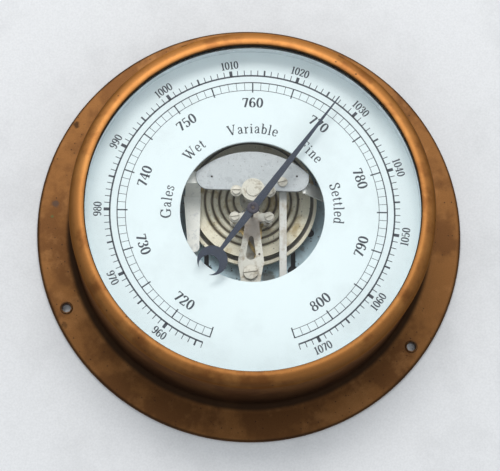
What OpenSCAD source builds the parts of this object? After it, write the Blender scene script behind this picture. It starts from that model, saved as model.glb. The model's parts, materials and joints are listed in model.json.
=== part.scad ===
/* [Case] */
// Diameter of the mounting flange
flange_d = 150; // [148:0.5:156]
// Thickness of the flange plate
flange_t = 2.4; // [2:0.1:3]
// Outer diameter of the drum
drum_d = 123.8; // [122.6:0.2:125]
// Wall of the drum
drum_wall = 1.5; // [1.2:0.1:1.8]
// Height of the drum's rim above the back
drum_h = 34; // [33.4:0.1:36]
// Radius of the fillet between flange and drum
fillet_r = 3.6; // [2.5:0.1:4]
// Width of the inner ledge that carries the back cover
ledge_w = 3.4; // [3.2:0.1:4]
// Thickness of the inner ledge
ledge_t = 1.5; // [1.2:0.1:2]

/* [Mounting] */
// Pitch circle of the mounting holes
mount_pcd = 140; // [139:0.5:142]
// Number of mounting holes
mount_count = 3; // [3:1:6]
// Angle of the first mounting hole from +X
mount_angle = 84; // [60:1:120]
// Bore of a mounting eyelet
eyelet_bore = 3.1; // [2.6:0.1:3.3]
// Outer diameter of an eyelet's tube
eyelet_d = 3.8; // [3.7:0.1:4.2]
// Diameter of an eyelet's raised lip
eyelet_lip_d = 4.5; // [4.4:0.1:5]
// Height of an eyelet's lip above the flange
eyelet_lip_h = 0.35; // [0.2:0.05:0.6]

/* [Bezel and glass] */
// Diameter of the clear view through the bezel
view_d = 114.4; // [113:0.2:115]
// How far the bezel stands out beyond the drum
bezel_proud = 0.4; // [0.2:0.1:1]
// Wall of the bezel's skirt inside the drum
skirt_t = 0.8; // [0.6:0.1:1]
// Thickness of the bezel's lip over the gasket
lip_t = 1.6; // [1.2:0.1:2.2]
// Thickness of the glass
glass_t = 2; // [1.6:0.1:2.5]
// Thickness of the gasket over the glass
gasket_t = 0.5; // [0.3:0.1:0.8]
// Height of the glass above the dial
glass_gap = 5.4; // [5.2:0.1:6]
// Width and height of the dark seam under the bezel
seam = 0.35; // [0.2:0.05:0.5]

/* [Dial] */
// Depth of the dial's face below the drum's rim
dial_depth = 4.6; // [4.2:0.1:5]
// Thickness of the dial
dial_t = 1; // [0.6:0.1:1.5]
// Diameter of the opening in the dial
opening_d = 49.4; // [46:0.2:52]
// Wall of the ring that carries the dial
seat_wall = 1.6; // [1.2:0.1:2]

/* [Pointer] */
// Reach of the pointer's tip
pointer_reach = 50; // [44:0.5:52]
// Thickness of the pointer
pointer_t = 0.4; // [0.3:0.05:0.6]
// Height of the pointer above the dial
pointer_lift = 4; // [3.4:0.1:4.2]
// Width of the blade at the hub
blade_w = 2.7; // [2:0.1:3.2]
// Width of the blade at the tip
tip_w = 0.4; // [0.3:0.05:0.8]
// Distance from the axis to the middle of the tail's crescent
crescent_arm = 22.9; // [18:0.1:24]
// Outer radius of the crescent
crescent_r = 5.15; // [4.5:0.05:6]
// Radius of the crescent's hollow
hollow_r = 3.45; // [3:0.05:3.8]
// Distance from the crescent's middle to its hollow's middle
hollow_shift = 1.95; // [1.8:0.05:2.4]
// Radius of the hub's cap
hub_r = 2.05; // [1.8:0.05:2.6]
// Clockwise angle of the pointer as built
rest_clock = 36.5; // [0:0.5:90]

/* [Capsule] */
// Outer radius of the capsule's rim
rim_r = 23; // [22:0.1:23.2]
// Outer radius of the corrugated disc
disc_r = 20.6; // [19.6:0.1:20.8]
// Radius of the flat centre of a diaphragm
centre_r = 5; // [4.6:0.1:6]
// Width of the smooth outer band
band_w = 3; // [2:0.1:4]
// Number of corrugations
waves = 5; // [3:1:8]
// Depth of a corrugation
wave_depth = 0.95; // [0.4:0.05:1.1]
// Height of a diaphragm over the joint of the rims
bulge = 2.9; // [2.4:0.1:3.1]
// Thickness of the diaphragm's sheet
sheet_t = 0.4; // [0.3:0.05:0.5]
// Distance of the capsule's axis above the pointer's axis
capsule_y = 8.4; // [8.2:0.1:8.8]
// Height of the stud under the capsule
stud_h = 1.4; // [1:0.1:2]
// Diameter of the stem's guided end
stem_d = 4.8; // [4.4:0.1:5]

/* [Frame of the movement] */
// Recess of the back cover from the flange's back
cover_recess = 0.6; // [0.5:0.05:1]
// Thickness of the back cover
cover_t = 1.2; // [1:0.1:1.6]
// Diameter of the base plate
base_d = 74; // [73:1:84]
// Thickness of the base plate
base_t = 1.2; // [1:0.1:1.6]
// Height of the spacers between back cover and base plate
base_gap = 2.2; // [2:0.1:3]
// Height of the bridge plate's underside over the base plate
bridge_h = 19.6; // [19.5:0.1:20]
// Thickness of the bridge plate
bridge_t = 1.2; // [1:0.1:1.3]
// Thickness of the sheet of the bridge's legs
leg_t = 1; // [0.8:0.1:1.2]
// Height of the train's lower plate over the base plate
train_h = 9.8; // [9.7:0.1:10]
// Thickness of the train's plates
train_t = 1.1; // [1:0.05:1.2]
// Clear height between the train's plates
train_gap = 5.9; // [5.8:0.1:6]
// Distance from the pointer's axis to a small train pillar
pillar_x = 5.85; // [5.8:0.05:6.4]
// Distance from the pointer's axis down to the main pillar
main_y = 20; // [19.6:0.1:20.6]
// Radius of the main pillar
main_r = 1.6; // [1.4:0.1:1.7]

/* [Gearing] */
// Gear module
gear_module = 0.25; // [0.24:0.005:0.25]
// Leaves of the pinion
leaves = 10; // [10:1:10]
// Teeth of the sector's full circle
sector_circle = 100; // [100:10:100]
// Teeth cut on the sector
sector_teeth = 12; // [11:1:13]
// Thickness of the sector's sheet
sector_t = 0.8; // [0.6:0.1:1]
// Sideways offset of the sector's pivot
sector_x = 2.6; // [2.4:0.1:2.8]
// Distance from the sector's pivot to its drive pin
tail_len = 2.7; // [2.6:0.05:2.8]
// Radius of the drive pin
pin_r = 0.3; // [0.25:0.05:0.35]
// Play of the drive pin in its fork
fork_play = 0.12; // [0.1:0.02:0.14]
// Turns of the hairspring
spring_turns = 4.25; // [2:0.25:4.25]
// Thickness of the hairspring's strip
spring_t = 0.12; // [0.08:0.01:0.13]
// Height of the hairspring's strip
spring_w = 0.8; // [0.5:0.1:1]

/* [Rocking bar] */
// Distance of the bar from the pointer's axis
bar_x = 10.8; // [10.6:0.1:11.2]
// Width of the bar
bar_w = 2.5; // [2.2:0.1:2.8]
// Thickness of the bar
bar_t = 1.8; // [1.6:0.1:2]
// Drop of the bar's axis under the bridge plate's underside
bar_drop = 3.8; // [3.7:0.1:3.9]
// Upper end of the bar
bar_top_y = 12.6; // [12.4:0.1:13]
// Lower end of the bar
bar_low_y = -28.6; // [-29:0.1:-28.2]
// Drop of the drive fork under the bar's axis
fork_drop = 11.3; // [11.2:0.1:11.5]

/* [Fits] */
// Radial clearance of a running fit
run = 0.05; // [0.03:0.01:0.08]
// Radial clearance of a fixed fit
snug = 0.02; // [0.015:0.005:0.03]
// Clearance between rings that drop into the case
slip = 0.15; // [0.1:0.05:0.2]

/* [Hidden] */
$fn = 96;

// Radii of the case and the rings in it
drum_r = drum_d / 2;
flange_r = flange_d / 2;
case_in_r = drum_r - drum_wall;
view_r = view_d / 2;
skirt_out_r = case_in_r - slip;
skirt_in_r = skirt_out_r - skirt_t;
ring_r = skirt_in_r - slip;
ledge_in_r = case_in_r - ledge_w;
opening_r = opening_d / 2;
mount_r = mount_pcd / 2;

// Heights, from the flange's back upwards
cover_top = cover_recess + cover_t;
ledge_top = cover_top + ledge_t;
base_z = cover_top + base_gap;
base_top = base_z + base_t;
capsule_z = base_top + stud_h + bulge;
capsule_top = capsule_z + bulge;
train_z = base_top + train_h;
train_low_top = train_z + train_t;
cock_z = train_low_top + train_gap;
cock_top = cock_z + train_t;
bridge_z = base_top + bridge_h;
bridge_top = bridge_z + bridge_t;
bar_z = bridge_z - bar_drop;
dial_top = drum_h - dial_depth;
dial_z = dial_top - dial_t;
pointer_z = dial_top + pointer_lift;
pointer_top = pointer_z + pointer_t;
glass_z = dial_top + glass_gap;
glass_top = glass_z + glass_t;
lip_z = glass_top + gasket_t;
bezel_top = lip_z + lip_t;

// Overlap of two solids that are one piece, and the gap that keeps two faces from sinking in
weld = 0.1;
flush_gap = 0.01;

// Fixings of the back
cover_screw_count = 3;
cover_screw_angle = 30;
cover_screw_r = 0.9;
cover_screw_head_r = 1.4;
cover_screw_circle = case_in_r - 2;
head_sink = 0.1;
thread_end = 0.2;
spacer_count = 4;
spacer_angle = 45;
spacer_circle = 31;
spacer_r = 2.5;
spacer_screw_r = 1;
spacer_screw_head_r = 1.9;
vent_r = 1.2;
vent_at = [0, -45];

// Holes of the base plate
key_slot_at = [15.2, -15];
key_slot_r = 1.9;
key_slot_neck = 1.6;
key_slot_len = 9;
sight_hole_at = [21.2, -1.2];
sight_hole_r = 1.5;

// Adjusting screw under the capsule
adjust_r = 1.4;
adjust_head_r = 2.4;
adjust_head_h = 1.4;
adjust_hole_r = 3;
stud_r = 3.2;
stud_bore_h = 0.9;

// Bridge
bridge_arc_r = 28;
bridge_arc_y = -5.8;
bridge_left = -19.5;
bridge_right = 19.3;
bridge_low_y = 8.4;
bridge_high_y = bridge_arc_y + bridge_arc_r;
bridge_corner_r = 4.4;
bridge_lean = -1;
boss_r = 4;
boss_h = 1;
outline_inset = 0.2;
ear_x = 5.8;
ear_y = capsule_y - 0.4;
ear_r = 2;
ear_h = 0.7;
ear_screw_r = 0.6;
ear_head_r = 1.5;
guide_bar_w = 2.2;
head_h = 0.9;
slot_w = 0.35;
slot_share = 0.5;
plate_screw = [bar_x - 0.35, 11.3];
plate_screw_r = 0.7;
plate_screw_head_r = 1.7;
rivet_r = 0.35;
rivet_left = [-13.9, 13.1];
rivet_right = [15.4, 13.5];

// Legs of the bridge
strip_h = 9.2;
strip_z = base_top + strip_h;
strip_top = strip_z + leg_t;
left_foot = [-19.85, -9.1];
left_foot_r = 2.05;
left_tab_at = [-22.9, 11];
left_tab = [11.4, 4.2];
left_web_w = 5.3;
left_web_run = 2.6;
left_web_y = left_tab_at[1] - left_web_run;
left_strip = [[-21.9, left_foot[1]], [-17.9, left_foot[1]], [-17.5, left_web_y + leg_t],
    [-23.5, left_web_y + leg_t]];
right_foot = [28, 9.9];
right_tab_at = [13.4, 9.4];
right_tab = [5, 6];
right_pad_at = [24.8, 7.8];
right_pad = [5.2, 4.2];
post_r = 1.6;
post_screw_r = 0.8;
post_screw_depth = 3;
under_head_r = 1.5;
under_head_h = 0.7;

// Stem of the capsule
stem_r = stem_d / 2;
stem_foot_r = 4.2;
stem_foot_h = 0.8;
stem_neck_r = 1.4;
collar_r = 2.6;
collar_h = 0.8;
stem_proud = 2.4;
stem_top = bridge_top + stem_proud;
eye_t = 1.2;
eye_lift = 0.3;
eye_head = 0.9;
eye_z = bar_z - eye_t / 2;
collar_top = eye_z - eye_lift;
stem_shoulder = eye_z + eye_t + eye_head;
capsule_at = [0.3, capsule_y];

// Train
leaf_angle = 360 / leaves;
tooth_angle = 360 / sector_circle;
pinion_pitch_r = gear_module * leaves / 2;
sector_pitch_r = gear_module * sector_circle / 2;
centre_distance = pinion_pitch_r + sector_pitch_r;
sector_at = [sector_x, -sqrt(centre_distance * centre_distance - sector_x * sector_x)];
line_angle = atan2(-sector_at[1], -sector_at[0]);
train_ratio = leaves / sector_circle;
sector_rest = rest_clock * train_ratio;
addendum = 0.8 * gear_module;
dedendum = 1.3 * gear_module;
root_half = 0.72 * gear_module;
crown_half = 0.34 * gear_module;
leaf_sink = 0.15;
arbor_r = 0.55;
arbor_tip = 0.6;
pivot_r = 0.35;
pivot_h = 0.2;
pinion_h = 2;
pinion_lift = 0.7;
pinion_z = train_low_top + pinion_lift;
sector_z = pinion_z + (pinion_h - sector_t) / 2;
sector_rim_w = 1.2;
sector_rim_end = 1.2;
sector_hub_r = 1.6;
spoke_w = 1;
spoke_inset = 5;
tail_w = 1.4;
pillar_y = -0.4;
pillar_r = 1.2;
pillar_clear = 0.2;
pillar_reach = norm([pillar_x, pillar_y] - sector_at) - sector_pitch_r - addendum;
pillar_waist_r = min(pillar_r, pillar_reach - pillar_clear);
waist_over = 0.8;
pillar_waist_h = sector_z + sector_t + waist_over - train_low_top;
small_screw_r = 0.5;
small_head_r = 1.5;
small_bore_h = 2;
main_x = -0.4;
main_screw_r = 0.8;
main_head_r = 2.55;
main_head_h = 1.1;
main_bore_h = 3;
main_pad = 0.2;
low_arm_w = 2.4;
low_lobe_r = 1.5;
cock_hub_r = 2.8;
cock_lobe_r = 1.9;
cock_cross = [[-pillar_x, -1.6], [0, -2.4], [pillar_x, -1.6], [pillar_x, 0.8], [0, 1.6], [-pillar_x, 0.8]];
cock_arm = [[-3.6, -24.4], [2.9, -24.4], [3.2, -21.5], [4.25, -16.2], [2.75, -5], [2.5, -1.4],
    [-2.3, -1.4], [-2.6, -5], [-4.8, -16.2], [-3.9, -21.5]];
cock_slot_high = [-0.17, -8.1];
cock_slot_high_r = 0.88;
cock_slot_low = [-0.33, -13.8];
cock_slot_low_r = 1.72;
cock_slot_sides = [[-2.04, -13.6], [1.38, -13.6], [0.7, -8], [-1.04, -8]];
collet_r = 1.5;
collet_h = 1.2;
collet_sink = 0.2;
spring_drop = 2.4;
spring_seat = 0.08;
spring_z = cock_z - spring_drop;
spring_in_r = collet_r + spring_seat;
spring_pitch = 0.56;
spring_out_r = spring_in_r + spring_pitch * spring_turns;
spring_end = 270;
spring_steps = 24;
spring_stud_r = 0.4;
spring_stud_gap = 0.03;

// Hub of the pointer
hub_neck_r = 1;
hub_wall = 0.3;
hub_bush_h = 1.4;
hub_cap_h = 0.4;

// Rocking bar and its fork
bar_bottom = bar_z - bar_t / 2;
bar_pin_r = 0.4;
bar_pin_len = 1.6;
bar_end_gap = 0.4;
bracket_w = 2.6;
bracket_t = 1.6;
bracket_foot_t = 1.2;
bracket_screw_r = 0.8;
bracket_head_r = 1.4;
bracket_head_h = 0.9;
bracket_foot = 4.4;
bracket_drop = 1.4;
bracket_back = 1.8;
low_screw_head_r = 1.3;
arm_w = 1.8;
eye_r = 3.2;
eye_bore_r = 2;
fork_t = 1;
fork_w = 1.2;
fork_z = bar_z - fork_drop;
fork_prong_w = 0.4;
fork_prong_y = 0.85;
fork_root = 0.6;
fork_inset = 2.6;
fork_bar_y = bar_low_y + fork_inset;
pin_at = [sector_at[0] + tail_len * sin(sector_rest), sector_at[1] - tail_len * cos(sector_rest)];
pin_below = 0.8;
pin_low = fork_z - fork_t / 2 - pin_below;

// A ring of a rectangular section
module ring(outer, inner, z, h) {
    translate([0, 0, z]) difference() {
        cylinder(r = outer, h = h);
        translate([0, 0, -1]) cylinder(r = inner, h = h + 2);
    }
}

// A plain rod along Z
module rod(r, z, h, at = [0, 0]) {
    translate([at[0], at[1], z]) cylinder(r = r, h = h, $fn = 48);
}

// A slotted screw: the head stands on z = 0 and the shank points down
module slotted_screw(head_r, head_h, shank_r, shank_len, turn = 0) {
    difference() {
        union() {
            cylinder(r = head_r, h = head_h, $fn = 48);
            translate([0, 0, -shank_len]) cylinder(r = shank_r, h = shank_len, $fn = 32);
        }
        rotate([0, 0, turn]) translate([-head_r - 1, -slot_w / 2, head_h * slot_share])
            cube([2 * head_r + 2, slot_w, head_h]);
    }
}

// Places children at equal angles on a circle
module around(count, radius, turn = 0) {
    for (i = [0:count - 1]) rotate([0, 0, turn + i * 360 / count]) translate([radius, 0, 0]) children();
}

module at_cover_screws() {
    around(cover_screw_count, cover_screw_circle, cover_screw_angle) children();
}

module at_spacers() {
    around(spacer_count, spacer_circle, spacer_angle) children();
}

// The cut that leaves an inside corner round
module corner_cut(r) {
    difference() {
        translate([-1, -1]) square([r + 1, r + 1]);
        translate([r, r]) circle(r = r);
    }
}

// Case
module case_profile() {
    difference() {
        union() {
            translate([case_in_r, 0]) square([flange_r - case_in_r - flange_t / 2, flange_t]);
            translate([flange_r - flange_t / 2, flange_t / 2]) circle(r = flange_t / 2);
            translate([case_in_r, 0]) square([drum_wall, drum_h]);
            translate([ledge_in_r, cover_top]) square([ledge_w + 0.5, ledge_t]);
            translate([drum_r - 0.2, flange_t - 0.2]) square(fillet_r + 0.2);
        }
        translate([drum_r + fillet_r, flange_t + fillet_r]) circle(r = fillet_r);
        translate([drum_r - seam, drum_h - seam]) square(1);
    }
}

module case_body() {
    color("#7a4a26") difference() {
        rotate_extrude($fn = 180) case_profile();
        around(mount_count, mount_r, mount_angle)
            translate([0, 0, -1]) cylinder(r = eyelet_d / 2 + snug, h = flange_t + 2, $fn = 48);
        at_cover_screws()
            translate([0, 0, cover_top - 1]) cylinder(r = cover_screw_r + snug, h = ledge_t + 2, $fn = 32);
    }
}

module mounting_eyelets() {
    color("#9a6a34") around(mount_count, mount_r, mount_angle) difference() {
        union() {
            cylinder(r = eyelet_d / 2, h = flange_t, $fn = 48);
            translate([0, 0, flange_t]) cylinder(r = eyelet_lip_d / 2, h = eyelet_lip_h, $fn = 48);
        }
        translate([0, 0, -1]) cylinder(r = eyelet_bore / 2, h = flange_t + eyelet_lip_h + 2, $fn = 48);
    }
}

// Bezel, glass and their rings
module bezel_profile() {
    outer = drum_r + bezel_proud;
    rise = bezel_top - drum_h;
    difference() {
        union() {
            intersection() {
                translate([outer - rise, drum_h]) circle(r = rise, $fn = 96);
                translate([outer - rise, drum_h]) square(rise + 1);
            }
            translate([view_r, drum_h]) square([outer - rise - view_r + 0.2, rise]);
            translate([skirt_in_r, dial_top + slip]) square([skirt_t, drum_h - dial_top]);
        }
        translate([0, dial_z]) square([skirt_in_r, lip_z - dial_z]);
        translate([drum_r - seam, drum_h - 1]) square([seam + bezel_proud + 1, 1 + seam]);
    }
}

module bezel() {
    color("#b07a3c") rotate_extrude($fn = 180) bezel_profile();
}

module bezel_gasket() {
    color("#1c1c1e") ring(ring_r, view_r, glass_top, gasket_t);
}

module glass() {
    color([0.8, 0.9, 0.95, 0.3]) translate([0, 0, glass_z]) cylinder(r = ring_r, h = glass_t, $fn = 180);
}

module spacer_ring() {
    color("#202022") ring(ring_r, view_r, dial_top, glass_gap);
}

module dial() {
    color("#eef4f6") ring(case_in_r - slip, opening_r, dial_z, dial_t);
}

module dial_seat_ring() {
    color("#3a3a3c") ring(case_in_r - slip, case_in_r - slip - seat_wall, ledge_top, dial_z - ledge_top);
}

// Back of the case
module back_cover() {
    color("#8a8c90") difference() {
        translate([0, 0, cover_recess]) cylinder(r = case_in_r - slip, h = cover_t, $fn = 180);
        at_cover_screws() rod(cover_screw_r + snug, -1, cover_top + 2);
        at_spacers() rod(spacer_screw_r + snug, -1, cover_top + 2);
        rod(adjust_hole_r, -1, cover_top + 2, capsule_at);
        rod(vent_r, -1, cover_top + 2, vent_at);
    }
}

module back_cover_screws() {
    color("#b8b8ba") at_cover_screws() translate([0, 0, cover_recess])
        mirror([0, 0, 1]) slotted_screw(cover_screw_head_r, cover_recess - head_sink, cover_screw_r,
            cover_t + ledge_t - thread_end, 20);
}

module base_slot(side) {
    x = side * key_slot_at[0];
    translate([x, key_slot_at[1]]) circle(r = key_slot_r, $fn = 48);
    translate([x - key_slot_neck / 2, key_slot_at[1]]) square([key_slot_neck, key_slot_len]);
}

module base_plate() {
    color("#a5c4d4") difference() {
        translate([0, 0, base_z]) cylinder(r = base_d / 2, h = base_t, $fn = 120);
        at_spacers() rod(spacer_screw_r + snug, base_z - 1, base_t + 2);
        rod(adjust_r + run, base_z - 1, base_t + 2, capsule_at);
        for (at = [left_foot, right_foot, [main_x, -main_y]])
            rod(post_screw_r + snug, base_z - 1, base_t + 2, at);
        rod(post_screw_r + snug, base_z - 1, base_t + 2, lower_screw_at);
        rod(sight_hole_r, base_z - 1, base_t + 2, sight_hole_at);
        for (side = [-1, 1]) translate([0, 0, base_z - 1]) linear_extrude(base_t + 2) base_slot(side);
    }
}

module base_spacers() {
    color("#b9a46a") at_spacers() ring(spacer_r, spacer_screw_r + snug, cover_top, base_gap);
}

module base_spacer_screws() {
    color("#b8b8ba") at_spacers() translate([0, 0, cover_recess]) mirror([0, 0, 1])
        slotted_screw(spacer_screw_head_r, cover_recess - head_sink, spacer_screw_r,
            cover_t + base_gap + base_t - thread_end, 35);
}

module base_plate_screws() {
    color("#b8b8ba") for (at = [left_foot, right_foot, [main_x, -main_y]])
        translate([at[0], at[1], base_z]) mirror([0, 0, 1])
            slotted_screw(under_head_r, under_head_h, post_screw_r,
                base_t + post_screw_depth - thread_end, 50);
}

// Capsule: profile of the upper diaphragm over the joint of the rims
wave_out_r = disc_r - band_w;
wave_pitch = (wave_out_r - centre_r) / waves;
wave_steps = waves * 12;
bead_w = 1.2;
bead_h = 1;
function groove(r) = wave_depth * pow(0.5 - 0.5 * cos(360 * ((r - centre_r) / wave_pitch)), 3);
function wave_r(i) = centre_r + (wave_out_r - centre_r) * i / wave_steps;

module diaphragm_profile() {
    top = [for (i = [wave_steps:-1:0]) [wave_r(i), bulge - groove(wave_r(i))]];
    under = [for (i = [0:wave_steps]) [wave_r(i), bulge - sheet_t - groove(wave_r(i))]];
    rim = [[disc_r - sheet_t, bulge - sheet_t], [disc_r - sheet_t, 0], [rim_r, 0], [rim_r, bead_h],
        [rim_r - bead_w, bead_h], [rim_r - bead_w, sheet_t], [disc_r, sheet_t], [disc_r, bulge]];
    polygon(concat([[0, bulge - sheet_t]], under, rim, top, [[0, bulge]]));
}

module capsule_upper_diaphragm() {
    color("#d2bf92") translate([capsule_at[0], capsule_at[1], capsule_z])
        rotate_extrude($fn = 120) diaphragm_profile();
}

module capsule_lower_diaphragm() {
    color("#c2ad80") translate([capsule_at[0], capsule_at[1], capsule_z]) mirror([0, 0, 1])
        rotate_extrude($fn = 120) diaphragm_profile();
}

module capsule_stud() {
    color("#b9a46a") difference() {
        rod(stud_r, base_top, stud_h, capsule_at);
        rod(adjust_r + run, base_top - 1, stud_bore_h + 1, capsule_at);
    }
}

module capsule_stem() {
    color("#c9c6bd") translate([capsule_at[0], capsule_at[1], 0]) {
        rod(stem_foot_r, capsule_top, stem_foot_h);
        rod(stem_neck_r, capsule_top, stem_shoulder - capsule_top + weld);
        rod(collar_r, collar_top - collar_h, collar_h);
        rod(stem_r, stem_shoulder, stem_top - stem_shoulder);
    }
}

module adjusting_screw() {
    color("#b9a46a") translate([capsule_at[0], capsule_at[1], cover_recess + adjust_head_h + 0.2])
        mirror([0, 0, 1]) slotted_screw(adjust_head_r, adjust_head_h, adjust_r,
            base_top + stud_bore_h - cover_recess - adjust_head_h - 0.4, 15);
}

// Bridge over the capsule
module bridge_outline() {
    width = bridge_right - bridge_left;
    rotate([0, 0, bridge_lean]) difference() {
        intersection() {
            translate([0, bridge_arc_y]) circle(r = bridge_arc_r, $fn = 120);
            translate([bridge_left, bridge_low_y]) square([width, bridge_high_y]);
        }
        translate([bridge_left, bridge_low_y]) corner_cut(bridge_corner_r);
        translate([bridge_right, bridge_low_y]) mirror([1, 0]) corner_cut(bridge_corner_r);
    }
    translate(capsule_at) circle(r = boss_r - outline_inset, $fn = 64);
    for (side = [-1, 1]) translate([capsule_at[0] + side * ear_x, ear_y])
        circle(r = ear_r - outline_inset, $fn = 48);
}

module bridge_plate() {
    color("#bfc0bd") difference() {
        translate([0, 0, bridge_z]) linear_extrude(bridge_t) bridge_outline();
        rod(stem_r + run, bridge_z - 1, bridge_t + 2, capsule_at);
        for (side = [-1, 1])
            rod(ear_screw_r + snug, bridge_z - 1, bridge_t + 2, [capsule_at[0] + side * ear_x, ear_y]);
        rod(plate_screw_r + snug, bridge_z - 1, bridge_t + 2, plate_screw);
        for (at = [rivet_left, rivet_right]) rod(rivet_r + snug, bridge_z - 1, bridge_t + 2, at);
    }
}

module bridge_rivets() {
    color("#6e6e6c") for (at = [rivet_left, rivet_right])
        rod(rivet_r, bridge_z - leg_t, leg_t + bridge_t, at);
}

// A sloping sheet from the high edge [a, z] to the low edge [b, z], drawn in a side view
module web(a, b, high, low) {
    polygon([[b, low], [b + leg_t, low], [a + leg_t, high], [a, high]]);
}

module bridge_leg_left() {
    tab_z = bridge_z - leg_t;
    color("#bcbdb9") difference() {
        union() {
            translate([left_tab_at[0], left_tab_at[1], tab_z]) cube([left_tab[0], left_tab[1], leg_t]);
            translate([left_tab_at[0], 0, 0]) rotate([90, 0, 90]) linear_extrude(left_web_w)
                web(left_tab_at[1], left_web_y, bridge_z - flush_gap, strip_z + flush_gap);
            translate([0, 0, strip_z]) linear_extrude(leg_t) {
                polygon(left_strip);
                translate(left_foot) circle(r = left_foot_r, $fn = 48);
            }
            rod(post_r, base_top, strip_z - base_top + weld, left_foot);
        }
        rod(post_screw_r + snug, base_top - 1, post_screw_depth + 1, left_foot);
        rod(rivet_r + snug, tab_z - 1, leg_t + 2, rivet_left);
    }
}

module bridge_leg_right() {
    tab_z = bridge_z - leg_t;
    color("#bcbdb9") difference() {
        union() {
            translate([right_tab_at[0], right_tab_at[1], tab_z]) cube([right_tab[0], right_tab[1], leg_t]);
            translate([0, right_pad_at[1] + right_pad[1], 0]) rotate([90, 0, 0]) linear_extrude(right_pad[1])
                web(right_tab_at[0] + right_tab[0] - leg_t, right_pad_at[0], bridge_z - flush_gap,
                    strip_z + flush_gap);
            translate([right_pad_at[0], right_pad_at[1], strip_z]) cube([right_pad[0], right_pad[1], leg_t]);
            rod(post_r, base_top, strip_z - base_top + weld, right_foot);
        }
        rod(post_screw_r + snug, base_top - 1, post_screw_depth + 1, right_foot);
        rod(rivet_r + snug, tab_z - 1, leg_t + 2, rivet_right);
    }
}

module stem_guide() {
    color("#cfccc2") difference() {
        union() {
            rod(boss_r, bridge_top, boss_h, capsule_at);
            translate([0, 0, bridge_top]) linear_extrude(ear_h) {
                translate([capsule_at[0] - ear_x, ear_y - guide_bar_w / 2]) square([2 * ear_x, guide_bar_w]);
                for (side = [-1, 1])
                    translate([capsule_at[0] + side * ear_x, ear_y]) circle(r = ear_r, $fn = 48);
            }
        }
        rod(stem_r + run, bridge_top - 1, boss_h + 2, capsule_at);
        for (side = [-1, 1])
            rod(ear_screw_r + snug, bridge_top - 1, ear_h + 2, [capsule_at[0] + side * ear_x, ear_y]);
    }
}

module stem_guide_screws() {
    color("#d0cec6") for (side = [-1, 1])
        translate([capsule_at[0] + side * ear_x, ear_y, bridge_top + ear_h])
            slotted_screw(ear_head_r, head_h, ear_screw_r, ear_h + bridge_t - 0.1, side < 0 ? 0 : 80);
}

module bridge_plate_screw() {
    color("#d0cec6") translate([plate_screw[0], plate_screw[1], bridge_top])
        slotted_screw(plate_screw_head_r, head_h, plate_screw_r, bridge_t + bracket_foot_t - 0.1, 12);
}

// Train of the pointer
module train_lower_outline() {
    circle(r = cock_hub_r, $fn = 64);
    for (side = [-1, 1]) translate([side * pillar_x, pillar_y]) circle(r = low_lobe_r, $fn = 48);
    translate([-pillar_x, pillar_y - low_arm_w / 2]) square([2 * pillar_x, low_arm_w]);
    translate([main_x - main_r, -main_y]) square([2 * main_r, main_y]);
    translate([main_x, -main_y]) circle(r = main_r + main_pad, $fn = 48);
    translate(sector_at) circle(r = low_lobe_r, $fn = 48);
    translate([0, sector_at[1] - low_arm_w / 2]) square([sector_x, low_arm_w]);
}

module train_lower_plate() {
    color("#b5b2a6") difference() {
        translate([0, 0, train_z]) linear_extrude(train_t) train_lower_outline();
        rod(pivot_r + run, train_z - 1, train_t + 2);
        rod(pivot_r + run, train_z - 1, train_t + 2, sector_at);
        rod(main_screw_r + snug, train_z - 1, train_t + 2, [main_x, -main_y]);
    }
}

module train_pillars() {
    color("#b9a46a") for (side = [-1, 1]) difference() {
        union() {
            rod(pillar_waist_r, train_low_top, pillar_waist_h + weld, [side * pillar_x, pillar_y]);
            rod(pillar_r, train_low_top + pillar_waist_h, train_gap - pillar_waist_h,
                [side * pillar_x, pillar_y]);
        }
        rod(small_screw_r + snug, cock_z - small_bore_h, small_bore_h + 1, [side * pillar_x, pillar_y]);
    }
}

module train_main_pillar() {
    color("#b9a46a") difference() {
        rod(main_r, base_top, train_h, [main_x, -main_y]);
        rod(post_screw_r + snug, base_top - 1, post_screw_depth + 1, [main_x, -main_y]);
        rod(main_screw_r + snug, train_z - main_bore_h, main_bore_h + 1, [main_x, -main_y]);
    }
}

module train_cock_pillar() {
    color("#b9a46a") translate([main_x, -main_y, 0])
        ring(main_r, main_screw_r + snug, train_low_top, train_gap);
}

module cock_slot() {
    translate(cock_slot_high) circle(r = cock_slot_high_r, $fn = 48);
    translate(cock_slot_low) circle(r = cock_slot_low_r, $fn = 48);
    polygon(cock_slot_sides);
}

module train_cock() {
    color("#c8c5bb") difference() {
        translate([0, 0, cock_z]) linear_extrude(train_t) {
            circle(r = cock_hub_r, $fn = 64);
            for (side = [-1, 1]) translate([side * pillar_x, pillar_y]) circle(r = cock_lobe_r, $fn = 48);
            polygon(cock_cross);
            polygon(cock_arm);
        }
        translate([0, 0, cock_z - 1]) linear_extrude(train_t + 2) cock_slot();
        rod(arbor_r + run, cock_z - 1, train_t + 2);
        rod(pivot_r + run, cock_z - 1, train_t + 2, sector_at);
        rod(main_screw_r + snug, cock_z - 1, train_t + 2, [main_x, -main_y]);
        for (side = [-1, 1]) rod(small_screw_r + snug, cock_z - 1, train_t + 2, [side * pillar_x, pillar_y]);
    }
}

module cock_small_screws() {
    color("#d0cec6") for (side = [-1, 1]) translate([side * pillar_x, pillar_y, cock_top])
        slotted_screw(small_head_r, head_h, small_screw_r, train_t + small_bore_h - thread_end,
            side < 0 ? 8 : 25);
}

module cock_main_screw() {
    color("#d0cec6") translate([main_x, -main_y, cock_top])
        slotted_screw(main_head_r, main_head_h, main_screw_r,
            2 * train_t + train_gap + main_bore_h - thread_end, 8);
}

// Arbors, pinion and pointer
module pointer_arbor() {
    color("#9c9ca0") {
        rod(pivot_r, train_z, train_t + pivot_h + weld);
        rod(arbor_r, train_low_top + pivot_h, pointer_top + arbor_tip - train_low_top - pivot_h);
    }
}

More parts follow.
